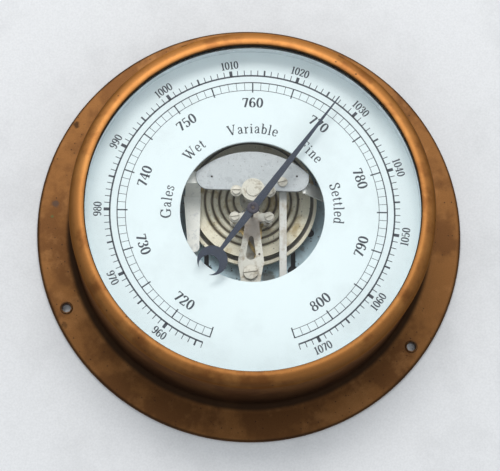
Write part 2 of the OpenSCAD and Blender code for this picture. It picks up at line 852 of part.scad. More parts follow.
module leaf(root_r, crown_r) {
    polygon([[root_r - leaf_sink, -root_half], [crown_r, -crown_half], [crown_r, crown_half],
        [root_r - leaf_sink, root_half]]);
}

module pinion() {
    root_r = pinion_pitch_r - dedendum;
    color("#a8a8ac") translate([0, 0, pinion_z]) difference() {
        rotate([0, 0, line_angle + 180 - rest_clock]) linear_extrude(pinion_h) {
            circle(r = root_r, $fn = 48);
            for (i = [0:leaves - 1]) rotate([0, 0, i * leaf_angle]) leaf(root_r, pinion_pitch_r + addendum);
        }
        translate([0, 0, -1]) cylinder(r = arbor_r + snug, h = pinion_h + 2, $fn = 32);
    }
}

module pointer_outline() {
    tail_w = 2.9;
    neck_w = 1.3;
    blade_knee = 20;
    knee_w = 2.5;
    tail_end = crescent_r - crescent_arm - 0.4;
    difference() {
        union() {
            polygon([[-blade_w / 2, 0], [blade_w / 2, 0], [knee_w / 2, blade_knee],
                [tip_w / 2, pointer_reach], [-tip_w / 2, pointer_reach], [-knee_w / 2, blade_knee]]);
            polygon([[-neck_w / 2, tail_end], [neck_w / 2, tail_end], [tail_w / 2, 0], [-tail_w / 2, 0]]);
            circle(r = hub_r, $fn = 64);
            translate([0, -crescent_arm]) circle(r = crescent_r, $fn = 96);
        }
        translate([0, -crescent_arm - hollow_shift]) circle(r = hollow_r, $fn = 96);
    }
}

module pointer() {
    color("#4b505f") difference() {
        translate([0, 0, pointer_z]) rotate([0, 0, -rest_clock]) linear_extrude(pointer_t) pointer_outline();
        rod(hub_neck_r + snug, pointer_z - 1, pointer_t + 2);
    }
}

module pointer_hub() {
    color("#454650") difference() {
        union() {
            rod(hub_neck_r + hub_wall, pointer_z - hub_bush_h, hub_bush_h);
            rod(hub_neck_r, pointer_z - weld, pointer_t + 2 * weld);
            rod(hub_r, pointer_top, hub_cap_h);
        }
        rod(arbor_r + snug, pointer_z - 3, 6);
    }
}

// Hairspring
function spring_r(i) = spring_in_r + spring_pitch * i / spring_steps;
function spring_a(i) = spring_end - 360 * (spring_turns - i / spring_steps);
spring_count = round(spring_turns * spring_steps);
spring_ring = [[0, 0], [1, 0], [1, 1], [0, 1]];
function spring_points() = [for (i = [0:spring_count]) for (c = spring_ring)
    [(spring_r(i) + c[0] * spring_t) * cos(spring_a(i)), (spring_r(i) + c[0] * spring_t) * sin(spring_a(i)),
        c[1] * spring_w]];
function spring_faces() = concat([[0, 1, 2], [0, 2, 3]],
    [for (i = [0:spring_count - 1]) for (k = [0:3]) for (half = [0, 1])
        let (a = 4 * i + k, b = 4 * i + (k + 1) % 4) half == 0 ? [a, a + 4, b] : [b, a + 4, b + 4]],
    [[4 * spring_count, 4 * spring_count + 2, 4 * spring_count + 1],
        [4 * spring_count, 4 * spring_count + 3, 4 * spring_count + 2]]);
spring_least_gap = min([for (i = [0:spring_count - spring_steps])
    spring_r(i + spring_steps) - spring_r(i) - spring_t]);
echo(spring_least_gap = spring_least_gap);

module hairspring() {
    color("#55606e") translate([0, 0, spring_z])
        polyhedron(points = spring_points(), faces = spring_faces());
}

module hairspring_collet() {
    color("#b9a46a") ring(collet_r, arbor_r + snug, spring_z - collet_sink, collet_h);
}

module hairspring_stud() {
    color("#b9a46a") rod(spring_stud_r, spring_z - weld, cock_z - spring_z + weld,
        [0, -spring_out_r - spring_t - spring_stud_r - spring_stud_gap]);
}

// Toothed sector
module sector_outline() {
    root_r = sector_pitch_r - dedendum;
    spread = tooth_angle * sector_teeth / 2 + sector_rim_end;
    far = 3 * root_r;
    intersection() {
        difference() {
            circle(r = root_r, $fn = 120);
            circle(r = root_r - sector_rim_w, $fn = 120);
        }
        polygon([[0, 0], [far * cos(spread), -far * sin(spread)], [far * cos(spread), far * sin(spread)]]);
    }
    for (i = [0:sector_teeth - 1]) rotate([0, 0, (i - (sector_teeth - 1) / 2) * tooth_angle])
        leaf(root_r, sector_pitch_r + addendum);
    for (side = [-1, 1]) rotate([0, 0, side * (spread - spoke_inset)])
        translate([0, -spoke_w / 2]) square([root_r - sector_rim_w / 2, spoke_w]);
    circle(r = sector_hub_r, $fn = 48);
}

module sector_wheel() {
    color("#c4ae72") translate([sector_at[0], sector_at[1], sector_z]) difference() {
        linear_extrude(sector_t) {
            rotate([0, 0, line_angle + sector_rest]) sector_outline();
            rotate([0, 0, sector_rest]) translate([-tail_w / 2, -tail_len]) square([tail_w, tail_len]);
            rotate([0, 0, sector_rest]) translate([0, -tail_len]) circle(r = tail_w / 2, $fn = 32);
        }
        rod(arbor_r + snug, -1, sector_t + 2);
        rotate([0, 0, sector_rest]) rod(pin_r + snug, -1, sector_t + 2, [0, -tail_len]);
    }
}

module sector_arbor() {
    color("#9c9ca0") translate([sector_at[0], sector_at[1], 0]) {
        rod(pivot_r, train_z, 2 * train_t + train_gap);
        rod(arbor_r, train_low_top + pivot_h, train_gap - 2 * pivot_h);
    }
}

module sector_pin() {
    color("#9c9ca0") rod(pin_r, pin_low, sector_z + sector_t - pin_low, pin_at);
}

// Rocking bar with its arm and fork
module rocking_bar() {
    color("#c9c8c4") difference() {
        translate([bar_x - bar_w / 2, bar_low_y, bar_bottom]) cube([bar_w, bar_top_y - bar_low_y, bar_t]);
        for (end = [[bar_top_y + 1, bar_pin_len + 1], [bar_low_y + bar_pin_len, bar_pin_len + 1]])
            translate([bar_x, end[0], bar_z]) rotate([90, 0, 0])
                cylinder(r = bar_pin_r + run, h = end[1], $fn = 32);
    }
}

module lifting_arm() {
    reach = bar_x - bar_w / 2 - capsule_at[0];
    color("#b5b2a6") translate([capsule_at[0], capsule_at[1], eye_z]) difference() {
        union() {
            cylinder(r = eye_r, h = eye_t, $fn = 64);
            translate([0, eye_r - arm_w, 0]) cube([reach, arm_w, eye_t]);
        }
        translate([0, 0, -1]) cylinder(r = eye_bore_r, h = eye_t + 2, $fn = 48);
    }
}

module drive_fork() {
    low = fork_z - fork_t / 2;
    run_x = pin_at[0];
    half = pin_r + fork_play;
    color("#b5b2a6") {
        translate([bar_x - fork_w / 2, fork_bar_y, low]) cube([fork_w, fork_w, bar_bottom - low]);
        translate([run_x - fork_w / 2, fork_bar_y, low]) cube([bar_x - run_x + fork_w, fork_w, fork_t]);
        translate([run_x - fork_w / 2, fork_bar_y, low])
            cube([fork_w, pin_at[1] - fork_prong_y - fork_bar_y, fork_t]);
        for (x = [-half - fork_prong_w, half])
            translate([run_x + x, pin_at[1] - fork_prong_y - fork_root, low])
                cube([fork_prong_w, 2 * fork_prong_y + fork_root, fork_t]);
    }
}

lower_bracket_y = bar_low_y - bar_end_gap;
lower_screw_at = [bar_x, lower_bracket_y - bracket_t - (bracket_foot - bracket_t) / 2];
bracket_half = bracket_w / 2;

module upper_bar_bracket() {
    leg_y = bar_top_y + bar_end_gap;
    foot_z = bridge_z - bracket_foot_t;
    color("#bcbdb9") difference() {
        union() {
            translate([bar_x - bracket_half, plate_screw[1] - bracket_back, foot_z])
                cube([bracket_w, leg_y + bracket_t - plate_screw[1] + bracket_back, bracket_foot_t]);
            translate([bar_x - bracket_half, leg_y, bar_z - bracket_drop])
                cube([bracket_w, bracket_t, foot_z - bar_z + bracket_drop + weld]);
        }
        rod(plate_screw_r + snug, foot_z - 1, 4, plate_screw);
        translate([bar_x, leg_y + bracket_t + 1, bar_z]) rotate([90, 0, 0])
            cylinder(r = bracket_screw_r + snug, h = bracket_t + 2, $fn = 32);
    }
}

module lower_bar_bracket() {
    color("#bcbdb9") difference() {
        union() {
            translate([bar_x - bracket_half, lower_bracket_y - bracket_t, base_top])
                cube([bracket_w, bracket_t, bar_z + bracket_drop - base_top]);
            translate([bar_x - bracket_half, lower_bracket_y - bracket_foot, base_top])
                cube([bracket_w, bracket_foot, bracket_foot_t]);
        }
        rod(post_screw_r + snug, base_top - 1, 4, lower_screw_at);
        translate([bar_x, lower_bracket_y + 1, bar_z]) rotate([90, 0, 0])
            cylinder(r = bracket_screw_r + snug, h = bracket_t + 2, $fn = 32);
    }
}

module lower_bracket_screw() {
    color("#d0cec6") translate([lower_screw_at[0], lower_screw_at[1], base_top + bracket_foot_t])
        slotted_screw(low_screw_head_r, head_h, post_screw_r, bracket_foot_t + base_t - weld, 30);
}

module pivot_screw() {
    slotted_screw(bracket_head_r, bracket_head_h, bracket_screw_r, bracket_t, 0);
    translate([0, 0, -bracket_t - bar_end_gap - bar_pin_len + 0.2])
        cylinder(r = bar_pin_r, h = bar_end_gap + bar_pin_len, $fn = 32);
}

module bar_pivot_screws() {
    color("#d0cec6") {
        translate([bar_x, bar_top_y + bar_end_gap + bracket_t, bar_z]) rotate([-90, 0, 0]) pivot_screw();
        translate([bar_x, lower_bracket_y - bracket_t, bar_z]) rotate([90, 0, 0]) pivot_screw();
    }
}

case_body();
mounting_eyelets();
bezel();
bezel_gasket();
glass();
spacer_ring();
dial();
dial_seat_ring();
back_cover();
back_cover_screws();
base_plate();
base_spacers();
base_spacer_screws();
base_plate_screws();
capsule_stud();
capsule_lower_diaphragm();
capsule_upper_diaphragm();
capsule_stem();
adjusting_screw();
bridge_plate();
bridge_leg_left();
bridge_leg_right();
bridge_rivets();
stem_guide();
stem_guide_screws();
bridge_plate_screw();
train_lower_plate();
train_pillars();
train_main_pillar();
train_cock_pillar();
train_cock();
cock_small_screws();
cock_main_screw();
pointer_arbor();
pinion();
pointer();
pointer_hub();
hairspring_collet();
hairspring();
hairspring_stud();
sector_wheel();
sector_arbor();
sector_pin();
rocking_bar();
lifting_arm();
drive_fork();
upper_bar_bracket();
lower_bar_bracket();
lower_bracket_screw();
bar_pivot_screws();
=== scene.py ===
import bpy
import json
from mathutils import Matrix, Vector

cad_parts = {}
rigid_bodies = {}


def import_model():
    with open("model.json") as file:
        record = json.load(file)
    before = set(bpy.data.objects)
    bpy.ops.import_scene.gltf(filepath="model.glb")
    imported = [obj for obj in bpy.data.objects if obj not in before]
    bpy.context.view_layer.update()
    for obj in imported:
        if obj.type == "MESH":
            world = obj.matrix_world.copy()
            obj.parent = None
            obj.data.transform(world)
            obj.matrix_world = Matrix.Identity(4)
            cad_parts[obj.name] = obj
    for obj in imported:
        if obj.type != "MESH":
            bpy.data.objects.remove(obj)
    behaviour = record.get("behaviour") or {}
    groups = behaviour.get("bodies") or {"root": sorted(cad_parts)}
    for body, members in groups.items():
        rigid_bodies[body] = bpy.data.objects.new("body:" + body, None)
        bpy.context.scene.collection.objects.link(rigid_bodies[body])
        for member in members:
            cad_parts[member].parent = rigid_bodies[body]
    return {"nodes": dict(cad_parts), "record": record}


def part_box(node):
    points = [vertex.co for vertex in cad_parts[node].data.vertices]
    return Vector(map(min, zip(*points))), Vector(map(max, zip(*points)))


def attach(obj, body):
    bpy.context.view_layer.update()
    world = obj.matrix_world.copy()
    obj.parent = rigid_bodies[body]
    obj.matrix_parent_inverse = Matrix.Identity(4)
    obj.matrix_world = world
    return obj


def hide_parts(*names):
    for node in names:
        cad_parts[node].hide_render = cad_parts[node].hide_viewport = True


bl_info = {
    "name": "Marine barometer",
    "version": (1, 0, 0),
    "blender": (4, 5, 0),
    "location": "3D View > Sidebar > Barometer",
    "description": "Builds a tarnished brass aneroid barometer, piece by piece, on its packed model",
    "category": "Object",
}

import json
import math

import bmesh
import bpy
from mathutils import Matrix, Vector

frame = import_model()
NODES = frame["nodes"]
RECORD = frame["record"]
BODY_OF = {node: body for body, nodes in RECORD["behaviour"]["bodies"].items() for node in nodes}
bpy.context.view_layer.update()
MM = 0.001
# The capsule's upright axis, in millimetres and in metres
CAPSULE_AT = (0.3, 8.4)
CAPSULE_AXIS = (CAPSULE_AT[0] * MM, CAPSULE_AT[1] * MM, 0)


# Sizes and colours

def length(label, mm, text):
    """A length property, given in millimetres."""
    return bpy.props.FloatProperty(
        name=label, description=text, default=mm * MM, min=0, unit="LENGTH", precision=5)


def amount(label, value, text, top=1.0):
    """A plain number property from nought to top."""
    return bpy.props.FloatProperty(name=label, description=text, default=value, min=0, max=top)


def linear(channel):
    """A channel from 0 to 255 as the shader's linear value."""
    share = channel / 255
    return share / 12.92 if share <= 0.04045 else ((share + 0.055) / 1.055) ** 2.4


def colour(label, red, green, blue, text):
    """A colour property, given in channels from 0 to 255."""
    return bpy.props.FloatVectorProperty(
        name=label, description=text, subtype="COLOR", size=3, min=0, max=1,
        default=(linear(red), linear(green), linear(blue)))


def top_of(node):
    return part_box(node)[1].z / MM


def low_of(node):
    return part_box(node)[0].z / MM


def radius_of(node):
    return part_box(node)[1].x / MM


class BarometerSizes(bpy.types.PropertyGroup):
    """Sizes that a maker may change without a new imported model."""
    edge_round: length("Edge rounding", 0.3, "Rounding of the spun case's rims")
    lip_drop: length("Lip drop", 0.7, "How far the bezel's lip stands below its packed height")
    print_height: length("Print height", 0.02, "Thickness of the print on the dial")
    hpa_line_r: length("Outer scale radius", 48.6, "Radius of the line of the outer scale")
    hpa_line_w: length("Outer line width", 0.56, "Width of the line of the outer scale")
    hpa_tick: length("Outer tick", 1.95, "Length of a tick of the outer scale")
    hpa_tick_w: length("Outer tick width", 0.26, "Width of a tick of the outer scale")
    ladder_out_r: length("Ladder outer radius", 46.1, "Outer line of the inner scale")
    ladder_in_r: length("Ladder inner radius", 43.3, "Inner line of the inner scale")
    hpa_text_r: length("Outer numerals radius", 52.8, "Middle radius of the outer numerals")
    hpa_text_h: length("Outer numerals height", 2.75, "Height of the outer numerals")
    ladder_text_r: length("Inner numerals radius", 38.9, "Middle radius of the inner numerals")
    ladder_text_h: length("Inner numerals height", 3.5, "Height of the inner numerals")
    word_r: length("Words radius", 29.6, "Middle radius of the words")
    word_h: length("Words height", 3.6, "Height of the words' capitals")
    head_dome: length("Screw dome", 0.06, "How far a screw head is domed")
    edge_soft: length("Softened edges", 0.05, "Rounding of the movement's sheet edges")
    stem_drop: length("Stem drop", 1.1, "How far the stem's face stands below its packed height")
    specks: amount("Specks", 1.0, "Strength of the specks", 2.0)


class BarometerColours(bpy.types.PropertyGroup):
    """Colours of the finishes."""
    case_brass: colour("Case brass", 140, 97, 57, "Flange and drum")
    case_brown: colour("Case patina", 110, 74, 44, "Darker patina on the flange and drum")
    case_light: colour("Case rubbed", 164, 118, 74, "Flange and drum where they are rubbed")
    bezel_brass: colour("Bezel brass", 186, 128, 72, "Bezel")
    bezel_brown: colour("Bezel patina", 152, 100, 56, "Darker patina on the bezel")
    bright_brass: colour("Bright brass", 204, 146, 84, "Brass where it is rubbed")
    eyelet_bronze: colour("Eyelets", 96, 66, 40, "Lining of the mounting holes")
    # The stain colour also serves as painted shade on the drum's foot, the flange's edge and the bezel
    stain: colour("Stains", 46, 34, 26, "Dark stains on the brass")
    verdigris: colour("Verdigris", 84, 100, 64, "Green spots on the brass")
    # Also used for painted shade on the spacer ring's top and in the capsule's gutter; the gasket itself is
    # black
    black: colour("Black seals", 18, 16, 15, "Gasket and the seal on the spacer ring")
    spacer: colour("Spacer ring", 214, 222, 226, "Inner wall between the dial and the glass")
    dial: colour("Dial", 229, 239, 240, "Enamel of the dial")
    ink: colour("Print", 60, 66, 76, "Scales, numerals and words")
    grey_ring: colour("Grey ring", 70, 74, 82, "Ring that carries the dial")
    # Dark as painted shade: the cover shows black through the slots in the base plate
    zinc: colour("Zinc", 82, 85, 92, "Back cover")
    nickel: colour("Nickel", 205, 200, 188, "Screws")
    nickel_brown: colour("Nickel tarnish", 140, 128, 108, "Tarnish on the screws")
    base_blue: colour("Base plate", 206, 232, 243, "Pale blue base plate")
    base_dirt: colour("Base plate dirt", 112, 104, 92, "Dirt on the base plate")
    brass: colour("Movement brass", 190, 165, 110, "Pillars, stud and sector")
    brass_brown: colour("Movement tarnish", 120, 96, 60, "Tarnish on the movement's brass")
    capsule_gold: colour("Capsule", 248, 240, 216, "Crests of the capsule's waves")
    # Painted shade laid in the capsule's grooves
    capsule_brown: colour("Capsule grooves", 96, 84, 66, "Grooves of the capsule")
    bridge: colour("Bridge", 182, 186, 188, "Sheet of the bridge, and stains on its legs")
    bridge_dark: colour("Bridge stains", 148, 152, 156, "Stains on the bridge")
    # Painted light: the bridge's legs take a lighter copy of the bridge's sheet colour, so they look lit
    leg: colour("Legs", 246, 245, 238, "Legs of the bridge")
    guide: colour("Guide", 206, 202, 190, "Guide and stem")
    train: colour("Train plates", 206, 203, 193, "Cock and lower plate")
    train_brown: colour("Train stains", 160, 148, 130, "Stains on the train's plates")
    bar: colour("Rocking bar", 206, 205, 200, "Rocking bar")
    rivet: colour("Rivets", 52, 48, 44, "Rivets of the bridge")
    steel: colour("Arbors", 84, 72, 66, "Arbors and pinion")
    pointer_blue: colour("Pointer", 50, 58, 74, "Blued pointer")
    hub: colour("Hub", 66, 62, 74, "Cap of the pointer's hub")
    spring: colour("Hairspring", 84, 96, 112, "Blued hairspring")
    floor: colour("Floor", 219, 219, 220, "Table top")


class StageSettings(bpy.types.PropertyGroup):
    """Light, floor and backdrop."""
    key: bpy.props.FloatProperty(
        name="Key light", description="Power of the large soft lamp", default=5.2, min=0, unit="POWER")
    sky: amount("Sky", 0.95, "Strength of the light from all round", 2.0)
    backdrop: amount("Backdrop", 0.84, "How pale the backdrop is beyond the floor")
    far_side: amount("Far side", 0.55, "Share of the light that comes from the side away from the window")


def sizes():
    return bpy.context.scene.barometer_sizes


def colours():
    return bpy.context.scene.barometer_colours


# Mesh helpers, in millimetres

def piece(name, verts, faces, body, finish, replaced=(), sharp=32, slot=None):
    """A mesh piece that rides a body, with smooth faces between its sharp edges."""
    mesh = bpy.data.meshes.new(name)
    mesh.from_pydata([Vector(v) * MM for v in verts], [], faces)
    bm = bmesh.new()
    bm.from_mesh(mesh)
    bmesh.ops.remove_doubles(bm, verts=bm.verts, dist=1e-7)
    bmesh.ops.recalc_face_normals(bm, faces=bm.faces)
    bm.to_mesh(mesh)
    bm.free()
    return settle(name, mesh, body, finish, replaced, sharp, slot)


def settle(name, mesh, body, finish, replaced=(), sharp=32, slot=None):
    """The object of a finished mesh, on its body and in place of its nodes."""
    mesh.shade_smooth()
    mesh.set_sharp_from_angle(angle=math.radians(sharp))
    mesh.materials.clear()
    mesh.materials.append(finish)
    obj = bpy.data.objects.new(name, mesh)
    bpy.context.scene.collection.objects.link(obj)
    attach(obj, body)
    if replaced:
        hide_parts(*replaced)
        slot = slot or NODES[replaced[0]]["slot_name"]
    return obj


def arc(cx, cy, r, start, end, steps=8):
    """Points of an arc, angles in degrees."""
    turns = [math.radians(start + (end - start) * i / steps) for i in range(steps + 1)]
    return [(cx + r * math.cos(a), cy + r * math.sin(a)) for a in turns]


def rounded(points, radius, steps=4):
    """A closed outline with each corner rounded. A point may bring a radius of its own."""
    out = []
    count = len(points)
    for i, point in enumerate(points):
        here = Vector(point[:2])
        before = Vector(points[i - 1][:2]) - here
        after = Vector(points[(i + 1) % count][:2]) - here
        r = point[2] if len(point) > 2 else radius
        half = before.angle(after) / 2
        if r <= 0 or half > math.radians(87):
            out.append(tuple(here))
            continue
        back = min(r / math.tan(half), before.length * 0.49, after.length * 0.49)
        start = here + before.normalized() * back
        end = here + after.normalized() * back
        for k in range(steps + 1):
            t = k / steps
            out.append(tuple(start * (1 - t) ** 2 + here * (2 * t * (1 - t)) + end * t ** 2))
    return out


def spin(profile, at=(0, 0), turns=256):
    """Vertices and faces of a closed outline (radius, height) turned round a vertical axis."""
    verts = []
    faces = []
    count = len(profile)
    for i in range(turns):
        a = 2 * math.pi * i / turns
        verts += [(at[0] + r * math.cos(a), at[1] + r * math.sin(a), z) for r, z in profile]
        nxt = (i + 1) % turns
        for k in range(count):
            k2 = (k + 1) % count
            if profile[k][0] > 0 or profile[k2][0] > 0:
                faces.append((i * count + k, nxt * count + k, nxt * count + k2, i * count + k2))
    return verts, faces


def spun(name, profile, body, finish, replaced=(), at=(0, 0), turns=256, slot=None, sharp=32):
    verts, faces = spin(profile, at, turns)
    return piece(name, verts, faces, body, finish, replaced, sharp, slot)


def several(shapes):
    """Several (vertices, faces) as one."""
    verts = []
    faces = []
    for part_verts, part_faces in shapes:
        start = len(verts)
        verts += part_verts
        faces += [tuple(start + i for i in face) for face in part_faces]
    return verts, faces


def prism(outline, low, high):
    """A closed upright solid on an outline that runs anticlockwise."""
    count = len(outline)
    verts = [(x, y, low) for x, y in outline] + [(x, y, high) for x, y in outline]
    sides = [(i, (i + 1) % count, count + (i + 1) % count, count + i) for i in range(count)]
    return verts, sides + [tuple(reversed(range(count))), tuple(range(count, 2 * count))]


def bar_outline(start, end, width):
    """A straight bar from start to end, anticlockwise."""
    way = (end - start).normalized()
    side = Vector((-way.y, way.x)) * width / 2
    return [tuple(p) for p in (start - side, end - side, end + side, start + side)]


def bore(place, radius, low, high, turns):
    """The inside of a round upright hole."""
    return spin([(0, low), (radius, low), (radius, high), (0, high)], place, turns)


def thirds(radius, first):
    """Three places on a ring, a third of a turn apart."""
    turns = [math.radians(first + 120 * i) for i in range(3)]
    return [(radius * math.cos(a), radius * math.sin(a)) for a in turns]


def cut(obj, shapes):
    """Takes closed shapes, in millimetres, out of a piece's mesh."""
    verts, faces = several(shapes)
    mesh = bpy.data.meshes.new("cutter")
    mesh.from_pydata([Vector(v) * MM for v in verts], [], faces)
    tool = bpy.data.objects.new("cutter", mesh)
    bpy.context.scene.collection.objects.link(tool)
    tool.parent = obj.parent
    tool.matrix_world = obj.matrix_world
    boolean = obj.modifiers.new("cut", "BOOLEAN")
    boolean.object = tool
    boolean.operation = "DIFFERENCE"
    boolean.solver = "EXACT"
    graph = bpy.context.evaluated_depsgraph_get()
    cut_mesh = bpy.data.meshes.new_from_object(obj.evaluated_get(graph))
    obj.modifiers.remove(boolean)
    bpy.data.objects.remove(tool)
    if len(cut_mesh.polygons) < len(obj.data.polygons) // 2:
        raise RuntimeError("the cut left too little of " + obj.name)
    obj.data = cut_mesh
    cut_mesh.set_sharp_from_angle(angle=math.radians(32))


def eased(node, finish, width=None, sharp=32):
    """A copy of a node's solid with its sharp edges softened, which stands for the node."""
    bm = bmesh.new()
    bm.from_mesh(NODES[node].data)
    bmesh.ops.remove_doubles(bm, verts=bm.verts, dist=2e-6)
    bmesh.ops.dissolve_limit(bm, angle_limit=math.radians(1), verts=bm.verts, edges=bm.edges)
    edges = [e for e in bm.edges if len(e.link_faces) == 2 and e.calc_face_angle() > math.radians(40)]
    bmesh.ops.bevel(
        bm, geom=edges, offset=width or sizes().edge_soft, segments=2, affect="EDGES", profile=0.5,
        clamp_overlap=True)
    mesh = bpy.data.meshes.new(node + "_eased")
    bm.to_mesh(mesh)
    bm.free()
    obj = settle(node + "_eased", mesh, BODY_OF[node], finish, (node,), sharp)
    weighted = obj.modifiers.new("flat faces", "WEIGHTED_NORMAL")
    weighted.keep_sharp = True
    return obj


# Node trees

class Net:
    """A node tree in the making."""

    def __init__(self, tree):
        self.tree = tree

    def put(self, kind, inputs=None, **settings):
        node = self.tree.nodes.new(kind)
        for key, value in settings.items():
            setattr(node, key, value)
        for key, value in (inputs or {}).items():
            if isinstance(value, bpy.types.NodeSocket):
                self.tree.links.new(value, node.inputs[key])
            elif node.inputs[key].type == "RGBA":
                node.inputs[key].default_value = (*value[:3], 1)
            else:
                node.inputs[key].default_value = value
        return node

    def use(self, tree, inputs=None):
        """The outputs of a shader group."""
        return self.put("ShaderNodeGroup", inputs, node_tree=tree).outputs

    def sum(self, operation, a, b=0.0, clamp=False):
        node = self.put("ShaderNodeMath", {0: a, 1: b}, operation=operation, use_clamp=clamp)
        return node.outputs[0]

    def vector(self, operation, a, b=(0, 0, 0)):
        """The outputs of a vector operation: its vector, and its number under Value."""
        return self.put("ShaderNodeVectorMath", {0: a, 1: b}, operation=operation).outputs

    def noise(self, place, scale=1.0, detail=2.0):
        return self.put(
            "ShaderNodeTexNoise", {"Vector": place, "Scale": scale, "Detail": detail}).outputs[0]

    def mix(self, share, a, b, blend="MIX"):
        node = self.put("ShaderNodeMix", {0: share, 6: a, 7: b}, data_type="RGBA", blend_type=blend)
        return node.outputs[2]

    def step(self, value, low, high, to_low=0.0, to_high=1.0):
        """Goes smoothly from one value to another between low and high."""
        node = self.put(
            "ShaderNodeMapRange", {0: value, 1: low, 2: high, 3: to_low, 4: to_high},
            interpolation_type="SMOOTHSTEP")
        return node.outputs[0]

    def place(self):
        return self.put("ShaderNodeTexCoord").outputs["Object"]

    def polar(self, x=0.0, y=0.0):
        """Distance from an upright axis and height, in millimetres, and the share of it towards +Y."""
        spot = self.vector("MULTIPLY", self.place(), (1 / MM, 1 / MM, 1 / MM))[0]
        away = self.vector("SUBTRACT", spot, (x, y, 0))[0]
        right, top, height = self.put("ShaderNodeSeparateXYZ", {0: away}).outputs
        flat = self.put("ShaderNodeCombineXYZ", {0: right, 1: top}).outputs[0]
        radius = self.vector("LENGTH", flat)["Value"]
        return radius, height, self.sum("DIVIDE", top, radius)


def group(name, inputs, outputs, fill):
    """A shader node group, made once. Inputs are (name, kind, default), outputs (name, kind)."""
    if name in bpy.data.node_groups:
        return bpy.data.node_groups[name]
    tree = bpy.data.node_groups.new(name, "ShaderNodeTree")
    for label, kind, default in inputs:
        socket = tree.interface.new_socket(name=label, in_out="INPUT", socket_type="NodeSocket" + kind)
        socket.default_value = (*default, 1) if kind == "Color" else default
    for label, kind in outputs:
        tree.interface.new_socket(name=label, in_out="OUTPUT", socket_type="NodeSocket" + kind)
    net = Net(tree)
    start = net.put("NodeGroupInput")
    end = net.put("NodeGroupOutput")
    for label, socket in fill(net, {s.name: s for s in start.outputs if s.name}).items():
        tree.links.new(socket, end.inputs[label])
    return tree


def mottle_group():
    """Soft uneven patches from 0 to 1."""
    def fill(net, given):
        scale = net.sum("DIVIDE", 1 / MM, given["Size"])
        noise = net.put(
            "ShaderNodeTexNoise",
            {"Vector": net.place(), "W": given["Seed"], "Scale": scale, "Detail": 4.0, "Roughness": 0.6},
            noise_dimensions="4D")
        return {"Value": net.step(noise.outputs[0], 0.3, 0.7)}
    return group(
        "mottle", [("Size", "Float", 4.0), ("Seed", "Float", 0.0)], [("Value", "Float")], fill)


def specks_group():
    """Small round marks, of random sizes, on some cells only."""
    def fill(net, given):
        scale = net.sum("DIVIDE", 1 / MM, given["Spacing"])
        cells = net.put("ShaderNodeTexVoronoi", {"Vector": net.place(), "Scale": scale}).outputs
        chance = net.put("ShaderNodeSeparateColor", {0: cells["Color"]}).outputs
        reach = net.sum("MULTIPLY", given["Radius"], chance[0])
        mark = net.step(net.sum("SUBTRACT", reach, cells["Distance"]), 0.0, 0.06)
        chosen = net.sum("LESS_THAN", chance[1], given["Share"])
        return {"Mask": net.sum("MULTIPLY", mark, chosen)}
    return group(
        "specks", [("Spacing", "Float", 1.0), ("Radius", "Float", 0.3), ("Share", "Float", 0.5)],
        [("Mask", "Float")], fill)


def stain_group():
    """One ragged stain round a place."""
    def fill(net, given):
        place = net.place()
        away = net.vector("DISTANCE", place, given["Place"])["Value"]
        ragged = net.sum("MULTIPLY", net.noise(place, 900.0, 5.0), given["Radius"])
        share = net.sum("DIVIDE", net.sum("ADD", away, ragged), given["Radius"])
        return {"Mask": net.step(share, 0.9, 1.5, 1.0, 0.0)}
    return group(
        "stain", [("Place", "Vector", (0, 0, 0)), ("Radius", "Float", 0.002)], [("Mask", "Float")], fill)


def turned_group():
    """Fine rings left by turning, round an upright axis."""
    def fill(net, given):
        away = net.vector("SUBTRACT", net.place(), given["Axis"])[0]
        right, top, height = net.put("ShaderNodeSeparateXYZ", {0: away}).outputs
        squares = net.sum(
            "ADD", net.sum("POWER", net.sum("ABSOLUTE", right), 2.0),
            net.sum("POWER", net.sum("ABSOLUTE", top), 2.0))
        along = net.sum("ADD", net.sum("SQRT", squares), height)
        where = net.put("ShaderNodeCombineXYZ", {0: net.sum("DIVIDE", along, given["Pitch"])})
        return {"Value": net.step(net.noise(where.outputs[0], detail=3.0), 0.25, 0.75)}
    return group(
        "turned", [("Axis", "Vector", (0, 0, 0)), ("Pitch", "Float", 0.0003)], [("Value", "Float")], fill)


def ground_group():
    """Straight grinding marks across a sheet."""
    def fill(net, given):
        turn = net.put(
            "ShaderNodeVectorRotate", {"Vector": net.place(), "Angle": given["Angle"]},
            rotation_type="Z_AXIS")
        stretch = net.vector("MULTIPLY", turn.outputs[0], (300.0, 9000.0, 300.0))[0]
        return {"Value": net.step(net.noise(stretch), 0.25, 0.75)}
    return group("ground", [("Angle", "Float", 0.0)], [("Value", "Float")], fill)


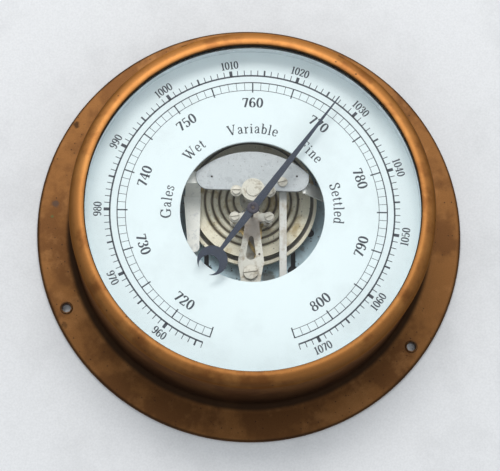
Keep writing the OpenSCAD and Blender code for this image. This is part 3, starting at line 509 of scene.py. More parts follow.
def aged_group():
    """A surface with patches, fine grain, worn edges and specks."""
    def fill(net, given):
        def mottle(size, seed):
            return net.use(mottle_group(), {"Size": size, "Seed": seed})[0]

        def low_part(value, share):
            """Full where the value lies under the share, with a soft edge."""
            return net.step(
                value, net.sum("SUBTRACT", share, 0.3), net.sum("ADD", share, 0.3), 1.0, 0.0)

        seed = given["Seed"]
        patch = mottle(given["Patch"], seed)
        light_patch = mottle(net.sum("MULTIPLY", given["Patch"], 0.6), net.sum("ADD", seed, 7.0))
        grain = mottle(given["Grain Size"], net.sum("ADD", seed, 13.0))
        tone = net.mix(low_part(patch, given["Dark Share"]), given["Base"], given["Dark"])
        light = net.sum("MULTIPLY", low_part(light_patch, given["Light Share"]), 0.6)
        tone = net.mix(light, tone, given["Light"])
        edge = net.step(net.put("ShaderNodeNewGeometry").outputs["Pointiness"], 0.51, 0.6)
        tone = net.mix(net.sum("MULTIPLY", edge, given["Wear"]), tone, given["Light"])
        lines = net.sum("MULTIPLY", net.sum("SUBTRACT", given["Lines"], 0.5), given["Line Amount"])
        swing = net.sum("MULTIPLY", net.sum("SUBTRACT", grain, 0.5), given["Grain"])
        level = net.sum("ADD", 1.0, net.sum("ADD", swing, lines))
        shade = net.put("ShaderNodeCombineColor", {0: level, 1: level, 2: level})
        tone = net.mix(1.0, tone, shade.outputs[0], "MULTIPLY")
        specks = net.use(specks_group(), {
            label: given["Speck " + label] for label in ("Spacing", "Radius", "Share")})[0]
        mask = net.sum("MULTIPLY", specks, given["Speck Depth"])
        tone = net.mix(mask, tone, given["Speck Colour"])
        rough = net.sum("ADD", given["Roughness"], net.sum(
            "MULTIPLY", net.sum("SUBTRACT", patch, 0.5), given["Rough Swing"]))
        rough = net.sum("ADD", rough, net.sum("MULTIPLY", mask, 0.15), clamp=True)
        height = net.sum("ADD", net.sum("MULTIPLY", swing, 0.5), lines)
        height = net.sum("SUBTRACT", height, net.sum("MULTIPLY", mask, 0.4))
        return {"Color": tone, "Roughness": rough, "Height": height}
    grey = (0.5, 0.5, 0.5)
    return group(
        "aged",
        [("Base", "Color", grey), ("Dark", "Color", grey), ("Light", "Color", grey),
         ("Speck Colour", "Color", (0.02, 0.02, 0.02)), ("Patch", "Float", 5.0),
         ("Dark Share", "Float", 0.4), ("Light Share", "Float", 0.2), ("Grain", "Float", 0.1),
         ("Grain Size", "Float", 0.25), ("Lines", "Float", 0.5), ("Line Amount", "Float", 0.0),
         ("Wear", "Float", 0.3), ("Speck Spacing", "Float", 1.0), ("Speck Radius", "Float", 0.25),
         ("Speck Share", "Float", 0.4), ("Speck Depth", "Float", 0.6), ("Roughness", "Float", 0.4),
         ("Rough Swing", "Float", 0.15), ("Seed", "Float", 0.0)],
        [("Color", "Color"), ("Roughness", "Float"), ("Height", "Float")], fill)


LINES = {"turned": (turned_group, "Axis"), "ground": (ground_group, "Angle")}


def fresh(name):
    """A new material with an empty node tree."""
    material = bpy.data.materials.new(name)
    material.use_nodes = True
    material.node_tree.nodes.clear()
    return material, Net(material.node_tree)


def finish(name, base, dark, light, metallic, lines=None, stains=(), bump=0.01, rim=(1, 1, 1), **values):
    """A material on the aged group. Lines names its marks and where they lie, stains are placed marks."""
    found = bpy.data.materials.get(name)
    if found:
        return found
    material, net = fresh(name)
    given = {"Base": base, "Dark": dark, "Light": light, "Seed": float(len(bpy.data.materials))}
    given.update({key.replace("_", " ").title(): value for key, value in values.items()})
    if lines:
        kind, where = lines
        marks, label = LINES[kind]
        given["Lines"] = net.use(marks(), {label: where})[0]
        given.setdefault("Line Amount", 0.1)
    aged = net.use(aged_group(), given)
    tone = aged["Color"]
    for place, radius, shade, strength in stains:
        mark = net.use(stain_group(), {"Place": Vector(place) * MM, "Radius": radius * MM})[0]
        tone = net.mix(net.sum("MULTIPLY", mark, strength), tone, shade)
    relief = net.put(
        "ShaderNodeBump", {"Height": aged["Height"], "Distance": bump * MM * 10, "Strength": 0.5})
    shader = net.put(
        "ShaderNodeBsdfPrincipled",
        {"Base Color": tone, "Roughness": aged["Roughness"], "Metallic": metallic, "IOR": 1.45,
         "Specular Tint": rim, "Normal": relief.outputs[0]})
    net.put("ShaderNodeOutputMaterial", {"Surface": shader.outputs[0]})
    return material


def overlay(material, marks):
    """Lays tones over a finish, once. marks(net) gives each mask with its tone."""
    net = Net(material.node_tree)
    if "overlay" in net.tree.nodes:
        return material
    shader = next(n for n in net.tree.nodes if n.type == "BSDF_PRINCIPLED")
    tone = shader.inputs["Base Color"].links[0].from_socket
    for mask, shade in marks(net):
        tone = net.mix(mask, tone, shade)
    tone.node.name = "overlay"
    net.tree.links.new(tone, shader.inputs["Base Color"])
    return material


def case_finish():
    """Aged brass, with painted shade that turns the drum nearly black towards its foot and a painted dark
    line along the flange's outer edge.
    """
    c = colours()
    # The stain colour serves the real stains and the painted shade below
    dirt = tuple(c.stain)

    def marks(net):
        away, height, _ = net.polar()
        # Painted shade: the drum wall and its crease into the flange darken towards the foot
        drum = net.step(away, 63.4, 65.2, 1.0, 0.0)
        foot = net.step(height, 8.0, 30.0, 0.92, 0.62)
        # Painted shade along the flange's rounded outer edge
        rim = net.step(away, 74.1, 74.7, 0.0, 0.8)
        return [(net.sum("MULTIPLY", drum, foot), dirt), (rim, dirt)]
    return overlay(finish(
        "case_patina_and_shade", c.case_brass, c.case_brown, c.case_light, 0.75, ("turned", (0, 0, 0)),
        stains=[((-62.1, 38.5, 2.4), 1.6, dirt, 0.8), ((-68.8, 9.2, 2.4), 1.8, (0.07, 0.055, 0.05), 0.7),
                ((-69.8, 4.6, 2.4), 0.7, tuple(c.verdigris), 0.7),
                ((-64.5, -34.5, 2.4), 1.5, dirt, 0.5)],
        patch=16.0, dark_share=0.45, light_share=0.15, grain=0.2, grain_size=0.4, line_amount=0.05,
        wear=0.25, speck_spacing=1.2, speck_radius=0.26, speck_share=0.45,
        speck_depth=0.6 * sizes().specks, roughness=0.52, rough_swing=0.08, bump=0.006,
        rim=(0.8, 0.5, 0.3)), marks)


def bezel_finish():
    """Satin brass with painted shade: darker down its outer side, less so on the side towards the light,
    darker over the lip's highlight and along its inner edge.
    """
    c = colours()
    # The stain colour serves the real stains and the painted shade below
    dirt = tuple(c.stain)

    def marks(net):
        away, _, up = net.polar()
        # Painted shade: the outer side darkens outwards, least at the top, which faces the light
        side = net.step(away, 59.9, 62.1, 0.0, 0.75)
        side = net.sum("MULTIPLY", side, net.step(up, 0.6, 0.95, 1.0, 0.2))
        # Painted shade that dulls the highlight on the lip
        lip = net.step(away, 57.1, 58.1, 0.5, 0.0)
        # Painted shade: a dark line along the lip's inner edge, where the inner wall falls into shade
        inside = net.step(away, 57.0, 57.2, 0.5, 0.0)
        return [(side, dirt), (lip, dirt), (inside, dirt)]
    return overlay(finish(
        "bezel_patina_and_shade", c.bezel_brass, c.bezel_brown, c.bright_brass, 0.9, ("turned", (0, 0, 0)),
        stains=[((-24.2, 57.2, 36), 1.6, dirt, 0.7), ((-21.4, 58.4, 36), 1.2, dirt, 0.6),
                ((30.5, 53.8, 36), 1.8, dirt, 0.6), ((60.4, 2.2, 38), 0.35, (0.01, 0.01, 0.01), 1.0)],
        patch=11.0, dark_share=0.35, light_share=0.15, grain=0.1, grain_size=0.4, line_amount=0.05,
        wear=0.2, speck_spacing=2.2, speck_radius=0.2, speck_share=0.3,
        speck_depth=0.6 * sizes().specks, roughness=0.47, rough_swing=0.08, bump=0.005,
        rim=(0.8, 0.5, 0.3)), marks)


def capsule_finish():
    """Pale crests with painted shade in the grooves, by height over the joint of the rims, and a painted
    black gutter inside the rim.
    """
    c = colours()

    def marks(net):
        away, height, _ = net.polar(*CAPSULE_AT)
        # Painted shade: the grooves darken with their depth
        deep = net.step(height, 11.65, 12.2, 0.9, 0.0)
        waves = net.step(away, 20.5, 20.8, 1.0, 0.0)
        # Painted shade: the gutter between the waves and the rim bead is laid black
        gap = net.sum("MULTIPLY", net.step(away, 20.5, 20.8), net.step(away, 21.7, 22.0, 0.85, 0.0))
        return [(net.sum("MULTIPLY", deep, waves), c.capsule_brown), (gap, c.black)]
    return overlay(finish(
        "capsule_waves", c.capsule_gold, c.brass, c.capsule_gold, 0.15,
        ("turned", CAPSULE_AXIS), patch=7.0, dark_share=0.2, light_share=0.1, grain=0.14,
        grain_size=0.3, line_amount=0.12, wear=0.0, speck_spacing=0.9, speck_radius=0.3,
        speck_share=0.5, speck_depth=0.6, speck_colour=(0.1, 0.06, 0.03), roughness=0.42), marks)


def sheet_finish(name, tone, stained, lines, **values):
    """Pale sheet metal with fine marks, small stains and specks."""
    given = {"metallic": 0.3, "grain": 0.1, "line_amount": 0.08, "wear": 0.2, "speck_spacing": 0.5,
             "speck_radius": 0.3, "speck_share": 0.4, "speck_depth": 0.4, "roughness": 0.5,
             "bump": 0.004}
    given.update(values)
    return finish(name, tone, stained, tone, lines=lines, **given)


def train_finish():
    """Pale sheet with a dark brown patch below the pointer's hub, partly stain and partly painted shadow of
    the hub.
    """
    c = colours()

    def marks(net):
        # A stain together with the painted shadow of the pointer's hub
        away = net.polar(0.0, -4.5)[0]
        return [(net.step(away, 3.0, 6.0, 0.7, 0.0), (0.14, 0.1, 0.08))]
    return overlay(sheet_finish(
        "train_sheet", c.train, c.train_brown, ("ground", 1.5), patch=2.5, dark_share=0.25,
        speck_depth=0.45, speck_colour=(0.12, 0.09, 0.06), roughness=0.48), marks)


def spacer_finish():
    """A pale ring, painted black on its top as the shade under the gasket and the lip."""
    c = colours()

    def marks(net):
        # Painted shade: black above 33.4 mm, the ring's top that lies in the shade of the gasket
        height = net.polar()[1]
        return [(net.step(height, 33.3, 33.5), c.black)]
    return overlay(plain_finish("pale_spacer", c.spacer, 0.0, 0.7, 0.9, speck_depth=0.0), marks)


def glass_finish():
    """Flat clear glass that lets the lamps through and mirrors a little on its outside."""
    found = bpy.data.materials.get("flat_glass")
    if found:
        return found
    material, net = fresh("flat_glass")
    clear = net.put("ShaderNodeBsdfTransparent", {"Color": (0.992, 0.998, 0.998)})
    mirror = net.put("ShaderNodeBsdfGlossy", {"Color": (1.0, 1.0, 1.0), "Roughness": 0.03})
    edge = net.put("ShaderNodeFresnel", {"IOR": 1.45}).outputs[0]
    outside = net.sum("SUBTRACT", 1.0, net.put("ShaderNodeNewGeometry").outputs["Backfacing"])
    both = net.put("ShaderNodeMixShader", {
        0: net.sum("MULTIPLY", edge, outside), 1: clear.outputs[0], 2: mirror.outputs[0]})
    net.put("ShaderNodeOutputMaterial", {"Surface": both.outputs[0]})
    return material


def dial_finish():
    c = colours()
    shade = tuple(v * 0.94 for v in c.dial)
    return finish(
        "dial_enamel", c.dial, shade, c.dial, 0.0, patch=18.0, dark_share=0.3, light_share=0.1,
        grain=0.02, grain_size=0.4, wear=0.0, speck_spacing=6.0, speck_radius=0.05, speck_share=0.35,
        speck_depth=0.75, speck_colour=(0.1, 0.09, 0.08), roughness=0.5, rough_swing=0.05, bump=0.002)


def plain_finish(name, tone, metallic=0.0, rough=0.6, dark=0.7, **values):
    """A quieter finish: one colour with a darker and a lighter shade of itself."""
    given = {"patch": 3.0, "dark_share": 0.35, "light_share": 0.2, "grain": 0.12, "wear": 0.3,
             "speck_spacing": 0.8, "speck_radius": 0.25, "speck_share": 0.3, "speck_depth": 0.5,
             "roughness": rough}
    given.update(values)
    return finish(name, tone, tuple(v * dark for v in tone),
                  tuple(min(1.0, v * 1.25) for v in tone), metallic, **given)


def slot_finish(slot):
    """The finish that shows a material slot of the record."""
    c = colours()
    grime = (0.15, 0.14, 0.13)
    makers = {
        "case_brass": case_finish,
        "eyelet_brass": lambda: plain_finish("eyelet_bronze", c.eyelet_bronze, 0.85, 0.4, 0.45),
        "bezel_brass": bezel_finish,
        "gasket_black": lambda: plain_finish("gasket_rubber", c.black, 0.0, 0.75, grain=0.3),
        "glass_clear": glass_finish,
        "ring_black": spacer_finish,
        "dial_white": dial_finish,
        "ring_grey": lambda: plain_finish("grey_ring", c.grey_ring, 0.5, 0.55, lines=("turned", (0, 0, 0))),
        # Darkened so the slots in the base plate show black, as painted shade
        "cover_steel": lambda: plain_finish(
            "zinc_cover", c.zinc, 0.4, 0.55, patch=9.0, lines=("turned", (0, 0, 0))),
        "screw_steel": lambda: sheet_finish(
            "nickel_screws", c.nickel, c.nickel_brown, ("ground", 0.3), metallic=0.35, patch=3.0,
            dark_share=0.1, line_amount=0.05, wear=0.0, speck_spacing=0.4, speck_share=0.25,
            speck_depth=0.3, roughness=0.48, bump=0.002),
        "base_blue": lambda: finish(
            "blue_plate", c.base_blue, tuple(v * 0.75 for v in c.base_blue), c.base_blue, 0.15,
            stains=[((6.5, -17.5, 5.2), 3.2, tuple(c.base_dirt), 0.75),
                    ((10.5, -18.5, 5.2), 2.2, tuple(c.base_dirt), 0.6),
                    ((18.5, -7.0, 5.2), 1.2, tuple(c.base_dirt), 0.5)],
            patch=5.0, dark_share=0.25, grain=0.1, wear=0.1, speck_spacing=0.9, speck_radius=0.34,
            speck_share=0.5, speck_depth=0.85, speck_colour=(0.03, 0.03, 0.035), roughness=0.5),
        "spacer_brass": lambda: finish(
            "turned_brass", c.brass, c.brass_brown, c.brass, 0.85, ("turned", (0, 0, 0)), patch=2.0,
            grain=0.15, wear=0.4, speck_depth=0.4, roughness=0.38),
        "capsule_metal": capsule_finish,
        "guide_metal": lambda: sheet_finish(
            "guide_nickel", c.guide, c.nickel_brown, ("turned", CAPSULE_AXIS), patch=2.0,
            dark_share=0.2, grain=0.12, line_amount=0.1, speck_spacing=0.6, speck_radius=0.25,
            speck_share=0.35, roughness=0.48),
        "bridge_metal": lambda: sheet_finish(
            "bridge_sheet", c.bridge, c.bridge_dark, ("ground", 0.1), patch=3.0, dark_share=0.12,
            grain=0.16, grain_size=0.3, line_amount=0.04, speck_spacing=0.8, speck_share=0.55,
            speck_depth=0.55, speck_colour=grime),
        # Painted light: the legs get a lighter copy of the bridge sheet
        "leg_metal": lambda: sheet_finish(
            "lit_leg_sheet", c.leg, c.bridge, ("ground", 0.1), metallic=0.2, patch=4.0, dark_share=0.12,
            grain_size=0.2, line_amount=0.04, speck_colour=grime),
        "rivet_dark": lambda: plain_finish("dark_rivets", c.rivet, 0.3, 0.5),
        "train_metal": train_finish,
        "arbor_steel": lambda: plain_finish("brown_arbors", c.steel, 0.0, 0.8, patch=1.0),
        "pointer_blue": lambda: plain_finish(
            "blued_pointer", c.pointer_blue, 0.2, 0.55, 0.8, patch=3.0, speck_spacing=0.7,
            speck_radius=0.2, speck_share=0.25, speck_depth=0.4, bump=0.003),
        "hub_dark": lambda: plain_finish("dark_hub", c.hub, 0.35, 0.5, 0.6, patch=0.8, bump=0.003),
        "spring_blue": lambda: plain_finish("blued_spring", c.spring, 0.9, 0.3, 0.6, patch=1.0),
        "bar_metal": lambda: sheet_finish(
            "bar_sheet", c.bar, c.train_brown, ("ground", 1.57), patch=4.0, dark_share=0.15,
            grain=0.08, speck_spacing=0.6, speck_radius=0.25, speck_share=0.3),
    }
    if slot not in makers:
        raise RuntimeError("no finish for slot " + slot)
    return makers[slot]()


# Print on the dial

THIN = 0.07
THICK = 0.165


def smooth(points, steps=6):
    """A smooth path through points."""
    ends = [points[0]] + list(points) + [points[-1]]
    path = []
    for a, b, c, d in zip(ends, ends[1:], ends[2:], ends[3:]):
        for k in range(steps):
            t = k / steps
            path.append(tuple(
                0.5 * (2 * q + (r - p) * t + (2 * p - 5 * q + 4 * r - s) * t * t
                       + (3 * q - p - 3 * r + s) * t ** 3)
                for p, q, r, s in zip(a, b, c, d)))
    return path + [tuple(points[-1])]


def line(x, y, far_x, far_y, width=THIN):
    """A straight stroke."""
    return [(x, y), (far_x, far_y)], width, width


def curve(width, *points):
    """A stroke through points, as wide as given where it runs upright."""
    return smooth(points), THIN, width


def bowl(width, cx, cy, rx, ry, steps=30):
    """A closed oval stroke."""
    turns = [math.radians(360 * i / steps) for i in range(steps + 1)]
    return [(cx + rx * math.cos(a), cy + ry * math.sin(a)) for a in turns], THIN, width


BODY = 0.12
FOOT = line(0.03, 0.02, 0.27, 0.02)
SHORT_STEM = [line(0.15, 0.02, 0.15, 0.62, BODY), line(0.03, 0.62, 0.15, 0.62)]

# Each glyph is its advance and its strokes: a path with the widths of its flat and upright parts,
# or a round drop with its radius. The unit is the height of a capital.
GLYPHS = {
    "0": (0.56, [bowl(THICK, 0.28, 0.5, 0.2, 0.47)]),
    "1": (0.44, [line(0.23, 0.02, 0.23, 0.98, THICK), line(0.06, 0.02, 0.4, 0.02),
                 line(0.23, 0.96, 0.08, 0.86)]),
    "2": (0.55, [curve(THICK, (0.09, 0.76), (0.13, 0.9), (0.27, 0.97), (0.42, 0.88), (0.44, 0.7),
                       (0.3, 0.42), (0.07, 0.06)),
                 line(0.06, 0.06, 0.48, 0.06, 0.11), line(0.47, 0.03, 0.5, 0.2), ((0.12, 0.76), 0.065)]),
    "3": (0.55, [curve(THICK, (0.1, 0.8), (0.16, 0.93), (0.28, 0.97), (0.42, 0.87), (0.4, 0.62),
                       (0.22, 0.53)),
                 curve(THICK, (0.22, 0.53), (0.4, 0.47), (0.46, 0.26), (0.36, 0.07), (0.22, 0.02),
                       (0.09, 0.13)),
                 ((0.12, 0.78), 0.06), ((0.11, 0.18), 0.065)]),
    "4": (0.57, [line(0.38, 0.02, 0.38, 0.97, THICK), line(0.37, 0.95, 0.03, 0.28),
                 line(0.03, 0.28, 0.53, 0.28), line(0.23, 0.02, 0.52, 0.02)]),
    "5": (0.55, [line(0.12, 0.93, 0.44, 0.93, 0.1), line(0.13, 0.95, 0.1, 0.5),
                 curve(THICK, (0.1, 0.51), (0.25, 0.6), (0.42, 0.5), (0.46, 0.3), (0.37, 0.08),
                       (0.22, 0.02), (0.09, 0.13)),
                 ((0.12, 0.17), 0.065)]),
    "6": (0.56, [bowl(THICK, 0.28, 0.29, 0.19, 0.27),
                 curve(THICK, (0.44, 0.88), (0.33, 0.97), (0.19, 0.86), (0.1, 0.6), (0.09, 0.3)),
                 ((0.43, 0.86), 0.06)]),
    "7": (0.52, [line(0.07, 0.92, 0.47, 0.92, 0.1), line(0.46, 0.93, 0.2, 0.02, THICK),
                 line(0.07, 0.96, 0.06, 0.76)]),
    "8": (0.56, [bowl(0.13, 0.28, 0.75, 0.16, 0.22), bowl(THICK, 0.28, 0.27, 0.2, 0.25)]),
    "9": (0.56, [bowl(THICK, 0.28, 0.71, 0.19, 0.27),
                 curve(THICK, (0.12, 0.12), (0.23, 0.03), (0.37, 0.14), (0.46, 0.4), (0.47, 0.7)),
                 ((0.13, 0.14), 0.06)]),
    "G": (0.88, [curve(0.16, (0.72, 0.78), (0.6, 0.93), (0.42, 0.98), (0.2, 0.88), (0.08, 0.5),
                       (0.2, 0.12), (0.43, 0.02), (0.62, 0.06), (0.7, 0.12)),
                 line(0.7, 0.06, 0.7, 0.4, 0.14), line(0.55, 0.4, 0.82, 0.4),
                 line(0.73, 0.7, 0.73, 0.97)]),
    "W": (1.1, [line(0.1, 0.97, 0.36, 0.03, 0.14), line(0.36, 0.03, 0.58, 0.86),
                line(0.5, 0.97, 0.76, 0.03, 0.14), line(0.76, 0.03, 1.0, 0.97),
                line(0.0, 0.97, 0.24, 0.97), line(0.4, 0.97, 0.64, 0.97), line(0.9, 0.97, 1.1, 0.97)]),
    "V": (0.78, [line(0.11, 0.97, 0.4, 0.03, 0.14), line(0.4, 0.03, 0.67, 0.97),
                 line(0.0, 0.97, 0.25, 0.97), line(0.56, 0.97, 0.78, 0.97)]),
    "F": (0.66, [line(0.17, 0.02, 0.17, 0.97, 0.14), line(0.04, 0.96, 0.6, 0.96),
                 line(0.17, 0.51, 0.44, 0.51), line(0.04, 0.02, 0.32, 0.02),
                 line(0.6, 0.98, 0.6, 0.76), line(0.44, 0.62, 0.44, 0.4)]),
    "S": (0.6, [curve(0.14, (0.47, 0.76), (0.42, 0.92), (0.28, 0.98), (0.12, 0.88), (0.12, 0.7),
                      (0.28, 0.55), (0.44, 0.42), (0.49, 0.25), (0.4, 0.07), (0.26, 0.02),
                      (0.12, 0.09), (0.09, 0.26)),
                line(0.48, 0.7, 0.48, 0.97), line(0.09, 0.03, 0.09, 0.3)]),
    "a": (0.5, [curve(0.1, (0.09, 0.5), (0.14, 0.61), (0.24, 0.65), (0.35, 0.58), (0.37, 0.44)),
                line(0.37, 0.46, 0.37, 0.07, BODY), line(0.37, 0.08, 0.49, 0.03),
                curve(0.1, (0.37, 0.38), (0.19, 0.32), (0.09, 0.18), (0.14, 0.04), (0.25, 0.03),
                      (0.36, 0.14)),
                ((0.11, 0.5), 0.05)]),
    "l": (0.3, [line(0.15, 0.02, 0.15, 1.0, BODY), FOOT, line(0.03, 0.98, 0.15, 0.99)]),
    "e": (0.47, [curve(BODY, (0.07, 0.36), (0.4, 0.36), (0.37, 0.57), (0.24, 0.65), (0.1, 0.54),
                       (0.06, 0.32), (0.12, 0.08), (0.26, 0.02), (0.41, 0.12))]),
    "s": (0.42, [curve(0.1, (0.33, 0.5), (0.3, 0.61), (0.2, 0.65), (0.09, 0.58), (0.1, 0.46),
                       (0.22, 0.36), (0.33, 0.26), (0.33, 0.1), (0.2, 0.02), (0.09, 0.06),
                       (0.07, 0.17)),
                 line(0.34, 0.46, 0.34, 0.65), line(0.07, 0.02, 0.07, 0.2)]),
    "t": (0.34, [line(0.15, 0.84, 0.15, 0.1, BODY), line(0.02, 0.63, 0.3, 0.63),
                 curve(0.07, (0.15, 0.12), (0.18, 0.03), (0.27, 0.03), (0.33, 0.12))]),
    "r": (0.4, [*SHORT_STEM, line(0.03, 0.02, 0.28, 0.02), line(0.17, 0.44, 0.33, 0.62),
                ((0.34, 0.58), 0.06)]),
    "i": (0.3, [*SHORT_STEM, FOOT, ((0.14, 0.86), 0.075)]),
    "b": (0.52, [line(0.13, 0.02, 0.13, 1.0, BODY), line(0.01, 0.98, 0.13, 0.99),
                 curve(BODY, (0.14, 0.5), (0.28, 0.64), (0.42, 0.54), (0.46, 0.32), (0.4, 0.09),
                       (0.27, 0.02), (0.14, 0.1))]),
    "n": (0.58, [*SHORT_STEM,
                 curve(0.1, (0.16, 0.48), (0.27, 0.62), (0.38, 0.62), (0.43, 0.46)),
                 line(0.43, 0.5, 0.43, 0.02, BODY), FOOT, line(0.32, 0.02, 0.55, 0.02)]),
    "d": (0.54, [line(0.4, 0.02, 0.4, 1.0, BODY), line(0.28, 0.98, 0.4, 0.99),
                 curve(BODY, (0.39, 0.1), (0.25, 0.02), (0.11, 0.1), (0.07, 0.32), (0.11, 0.54),
                       (0.24, 0.64), (0.39, 0.52)),
                 line(0.4, 0.03, 0.52, 0.03)]),
}


class Print:
    """Flat marks that lie on the dial, gathered for one mesh."""

    def __init__(self):
        self.low = top_of("dial") - 0.01
        self.high = top_of("dial") + sizes().print_height / MM
        self.shapes = []

    def mark(self, outline):
        self.shapes.append(prism(outline, self.low, self.high))

    def band(self, inner, outer, start, end):
        """Part of a ring. Angles run clockwise from the top."""
        steps = max(2, int(abs(end - start) * 0.8))
        turns = [math.radians(90 - start - (end - start) * i / steps) for i in range(steps + 1)]
        ways = [Vector((math.cos(a), math.sin(a))) for a in turns]
        for a, b in zip(ways, ways[1:]):
            self.mark([tuple(b * inner), tuple(b * outer), tuple(a * outer), tuple(a * inner)])

    def tick(self, clock, inner, outer, width):
        a = math.radians(clock)
        out = Vector((math.sin(a), math.cos(a)))
        self.mark(bar_outline(out * inner, out * outer, width))

    def stroke(self, path, flat, upright, place):
        """A pen stroke whose width goes from flat to upright with its direction."""
        left = []
        right = []
        count = len(path)
        closed = (Vector(path[0]) - Vector(path[-1])).length < 1e-6
        for i, point in enumerate(path):
            before = path[i - 1] if i else (path[-2] if closed else path[0])
            after = path[i + 1] if i < count - 1 else (path[1] if closed else path[-1])
            way = (Vector(after) - Vector(before)).normalized()
            half = (flat + (upright - flat) * abs(way.y) ** 1.6) / 2
            side = Vector((-way.y, way.x)) * half
            left.append(place(Vector(point) + side))
            right.append(place(Vector(point) - side))
        ring = [(*p, z) for z in (self.low, self.high) for p in left + right]
        faces = []
        for i in range(count - 1):
            a, b = i, i + 1
            c, d = count + i + 1, count + i
            up = 2 * count
            faces += [(a, b, c, d), (d + up, c + up, b + up, a + up), (a, a + up, b + up, b),
                      (d, c, c + up, d + up)]
        if not closed:
            for i in (0, count - 1):
                faces.append((i, count + i, 3 * count + i, 2 * count + i))
        self.shapes.append((ring, faces))

    def words(self, text, clock, radius, height, stretch=1.0, space=0.0):
        """Text on an arc round the dial's middle, upside up all round."""
        flip = -1 if abs(clock) > 90 else 1
        base = radius - flip * height / 2
        width = sum(GLYPHS[letter][0] * stretch + space for letter in text) * height
        along = -width / 2
        for letter in text:
            advance, strokes = GLYPHS[letter]
            step = (advance * stretch + space) * height
            a = math.radians(clock) + flip * (along + step / 2) / radius
            out = Vector((math.sin(a), math.cos(a)))
            side = Vector((math.cos(a), -math.sin(a)))

            def place(p, out=out, side=side, advance=advance):
                return tuple(out * (base + flip * p[1] * height)
                             + side * (flip * (p[0] - advance / 2) * stretch * height))
            for stroke in strokes:
                if len(stroke) == 2:
                    (x, y), r = stroke
                    drop = [place(Vector((x + r * math.cos(t * 0.5236), y + r * math.sin(t * 0.5236))))
                            for t in range(12)]
                    self.mark(drop)
                else:
                    self.stroke(*stroke, place)
            along += step

    def make(self, name):
        verts, faces = several(self.shapes)
        return piece(name, verts, faces, "case", ink_finish(), sharp=20, slot="dial_white")


def ink_finish():
    c = colours()
    return plain_finish("dial_ink", c.ink, 0.0, 0.55, 0.8, grain=0.25, grain_size=0.15, wear=0.0,
                        speck_depth=0.0)


# Screws

def slotted(name, node, heads, head_r, head_h, shank_r, shank, finish):
    """Screws with domed slotted heads. Each head is x, y, z of its seat and the slot's turn."""
    dome = sizes().head_dome / MM
    slot_w = 0.38
    flat = head_r - 0.14
    profile = [(0, -shank), (shank_r, -shank), (shank_r, -0.03), (head_r - 0.04, 0), (head_r, 0.06),
               (head_r, head_h - dome - 0.13), (flat, head_h - dome)]
    profile += [(flat * (1 - t), head_h - dome * (1 - t) ** 2) for t in (0.25, 0.5, 0.75)]
    profile.append((0, head_h))
    solids = []
    slots = []
    for x, y, z, turn in heads:
        verts, faces = spin(profile, (x, y), 64)
        solids.append(([(a, b, c + z) for a, b, c in verts], faces))
        a = math.radians(turn)
        way = Vector((math.cos(a), math.sin(a))) * (head_r + 0.5)
        outline = bar_outline(Vector((x, y)) - way, Vector((x, y)) + way, slot_w)
        slots.append(prism(outline, z + head_h * 0.45, z + head_h + 1))
    verts, faces = several(solids)
    obj = piece(name, verts, faces, BODY_OF[node], finish, (node,))
    cut(obj, slots)
    return obj


# Operators

class BAROMETER_OT_finishes(bpy.types.Operator):
    """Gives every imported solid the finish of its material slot"""
    bl_idname = "barometer.finishes"
    bl_label = "Finishes"

    def execute(self, context):
        for node in NODES.values():
            slot = node.material_slots[0].material.name
            node["slot_name"] = slot
            node.material_slots[0].material = slot_finish(slot)
        return {"FINISHED"}


class BAROMETER_OT_case(bpy.types.Operator):
    """Builds the spun case with its flange and drum, and the eyelets of its mounting holes"""
    bl_idname = "barometer.case"
    bl_label = "Case and eyelets"

    def execute(self, context):
        edge = sizes().edge_round / MM
        out = radius_of("case_body")
        high = top_of("case_body")
        drum = 61.9
        inner = 60.4
        thick = 2.4
        fillet = 3.6
        seat = 0.35
        ledge = 57.0
        ledge_low = 1.8
        ledge_high = 3.3
        profile = [(inner, 0)]
        profile += arc(out - 0.5, 0.5, 0.5, -90, 0, 5)
        profile += arc(out - 1.2, thick - 1.2, 1.2, 0, 90, 10)
        profile += reversed(arc(drum + fillet, thick + fillet, fillet, 180, 270, 16))
        profile += [(drum, 18.0), (drum, high - 0.6), (drum - 0.08, high - 0.42),
                    (drum - seat, high - 0.35), (drum - seat, high - 0.05), (inner + edge / 2, high),
                    (inner, high - 0.1), (inner, ledge_high), (ledge, ledge_high), (ledge, ledge_low),
                    (inner, ledge_low)]
        shell = spun("spun_case", profile, "case", slot_finish("case_brass"), ("case_body",), turns=360)
        mounts = thirds(70, 84)
        cut(shell, [bore(place, 1.92, -1, 4, 48) for place in mounts]
            + [bore(place, 0.92, 1, 4, 32) for place in thirds(58.4, 30)])
        lip = rounded([(1.55, 0), (1.9, 0), (1.9, 2.4), (2.25, 2.4, 0.05), (2.25, 2.62, 0.12),
                       (1.95, 2.75, 0.15), (1.62, 2.72, 0.12), (1.55, 2.5, 0.05)], 0.0, 5)
        verts, faces = several([spin(lip, place, 64) for place in mounts])
        piece("lined_eyelets", verts, faces, "case", slot_finish("eyelet_brass"), ("mounting_eyelets",))
        return {"FINISHED"}


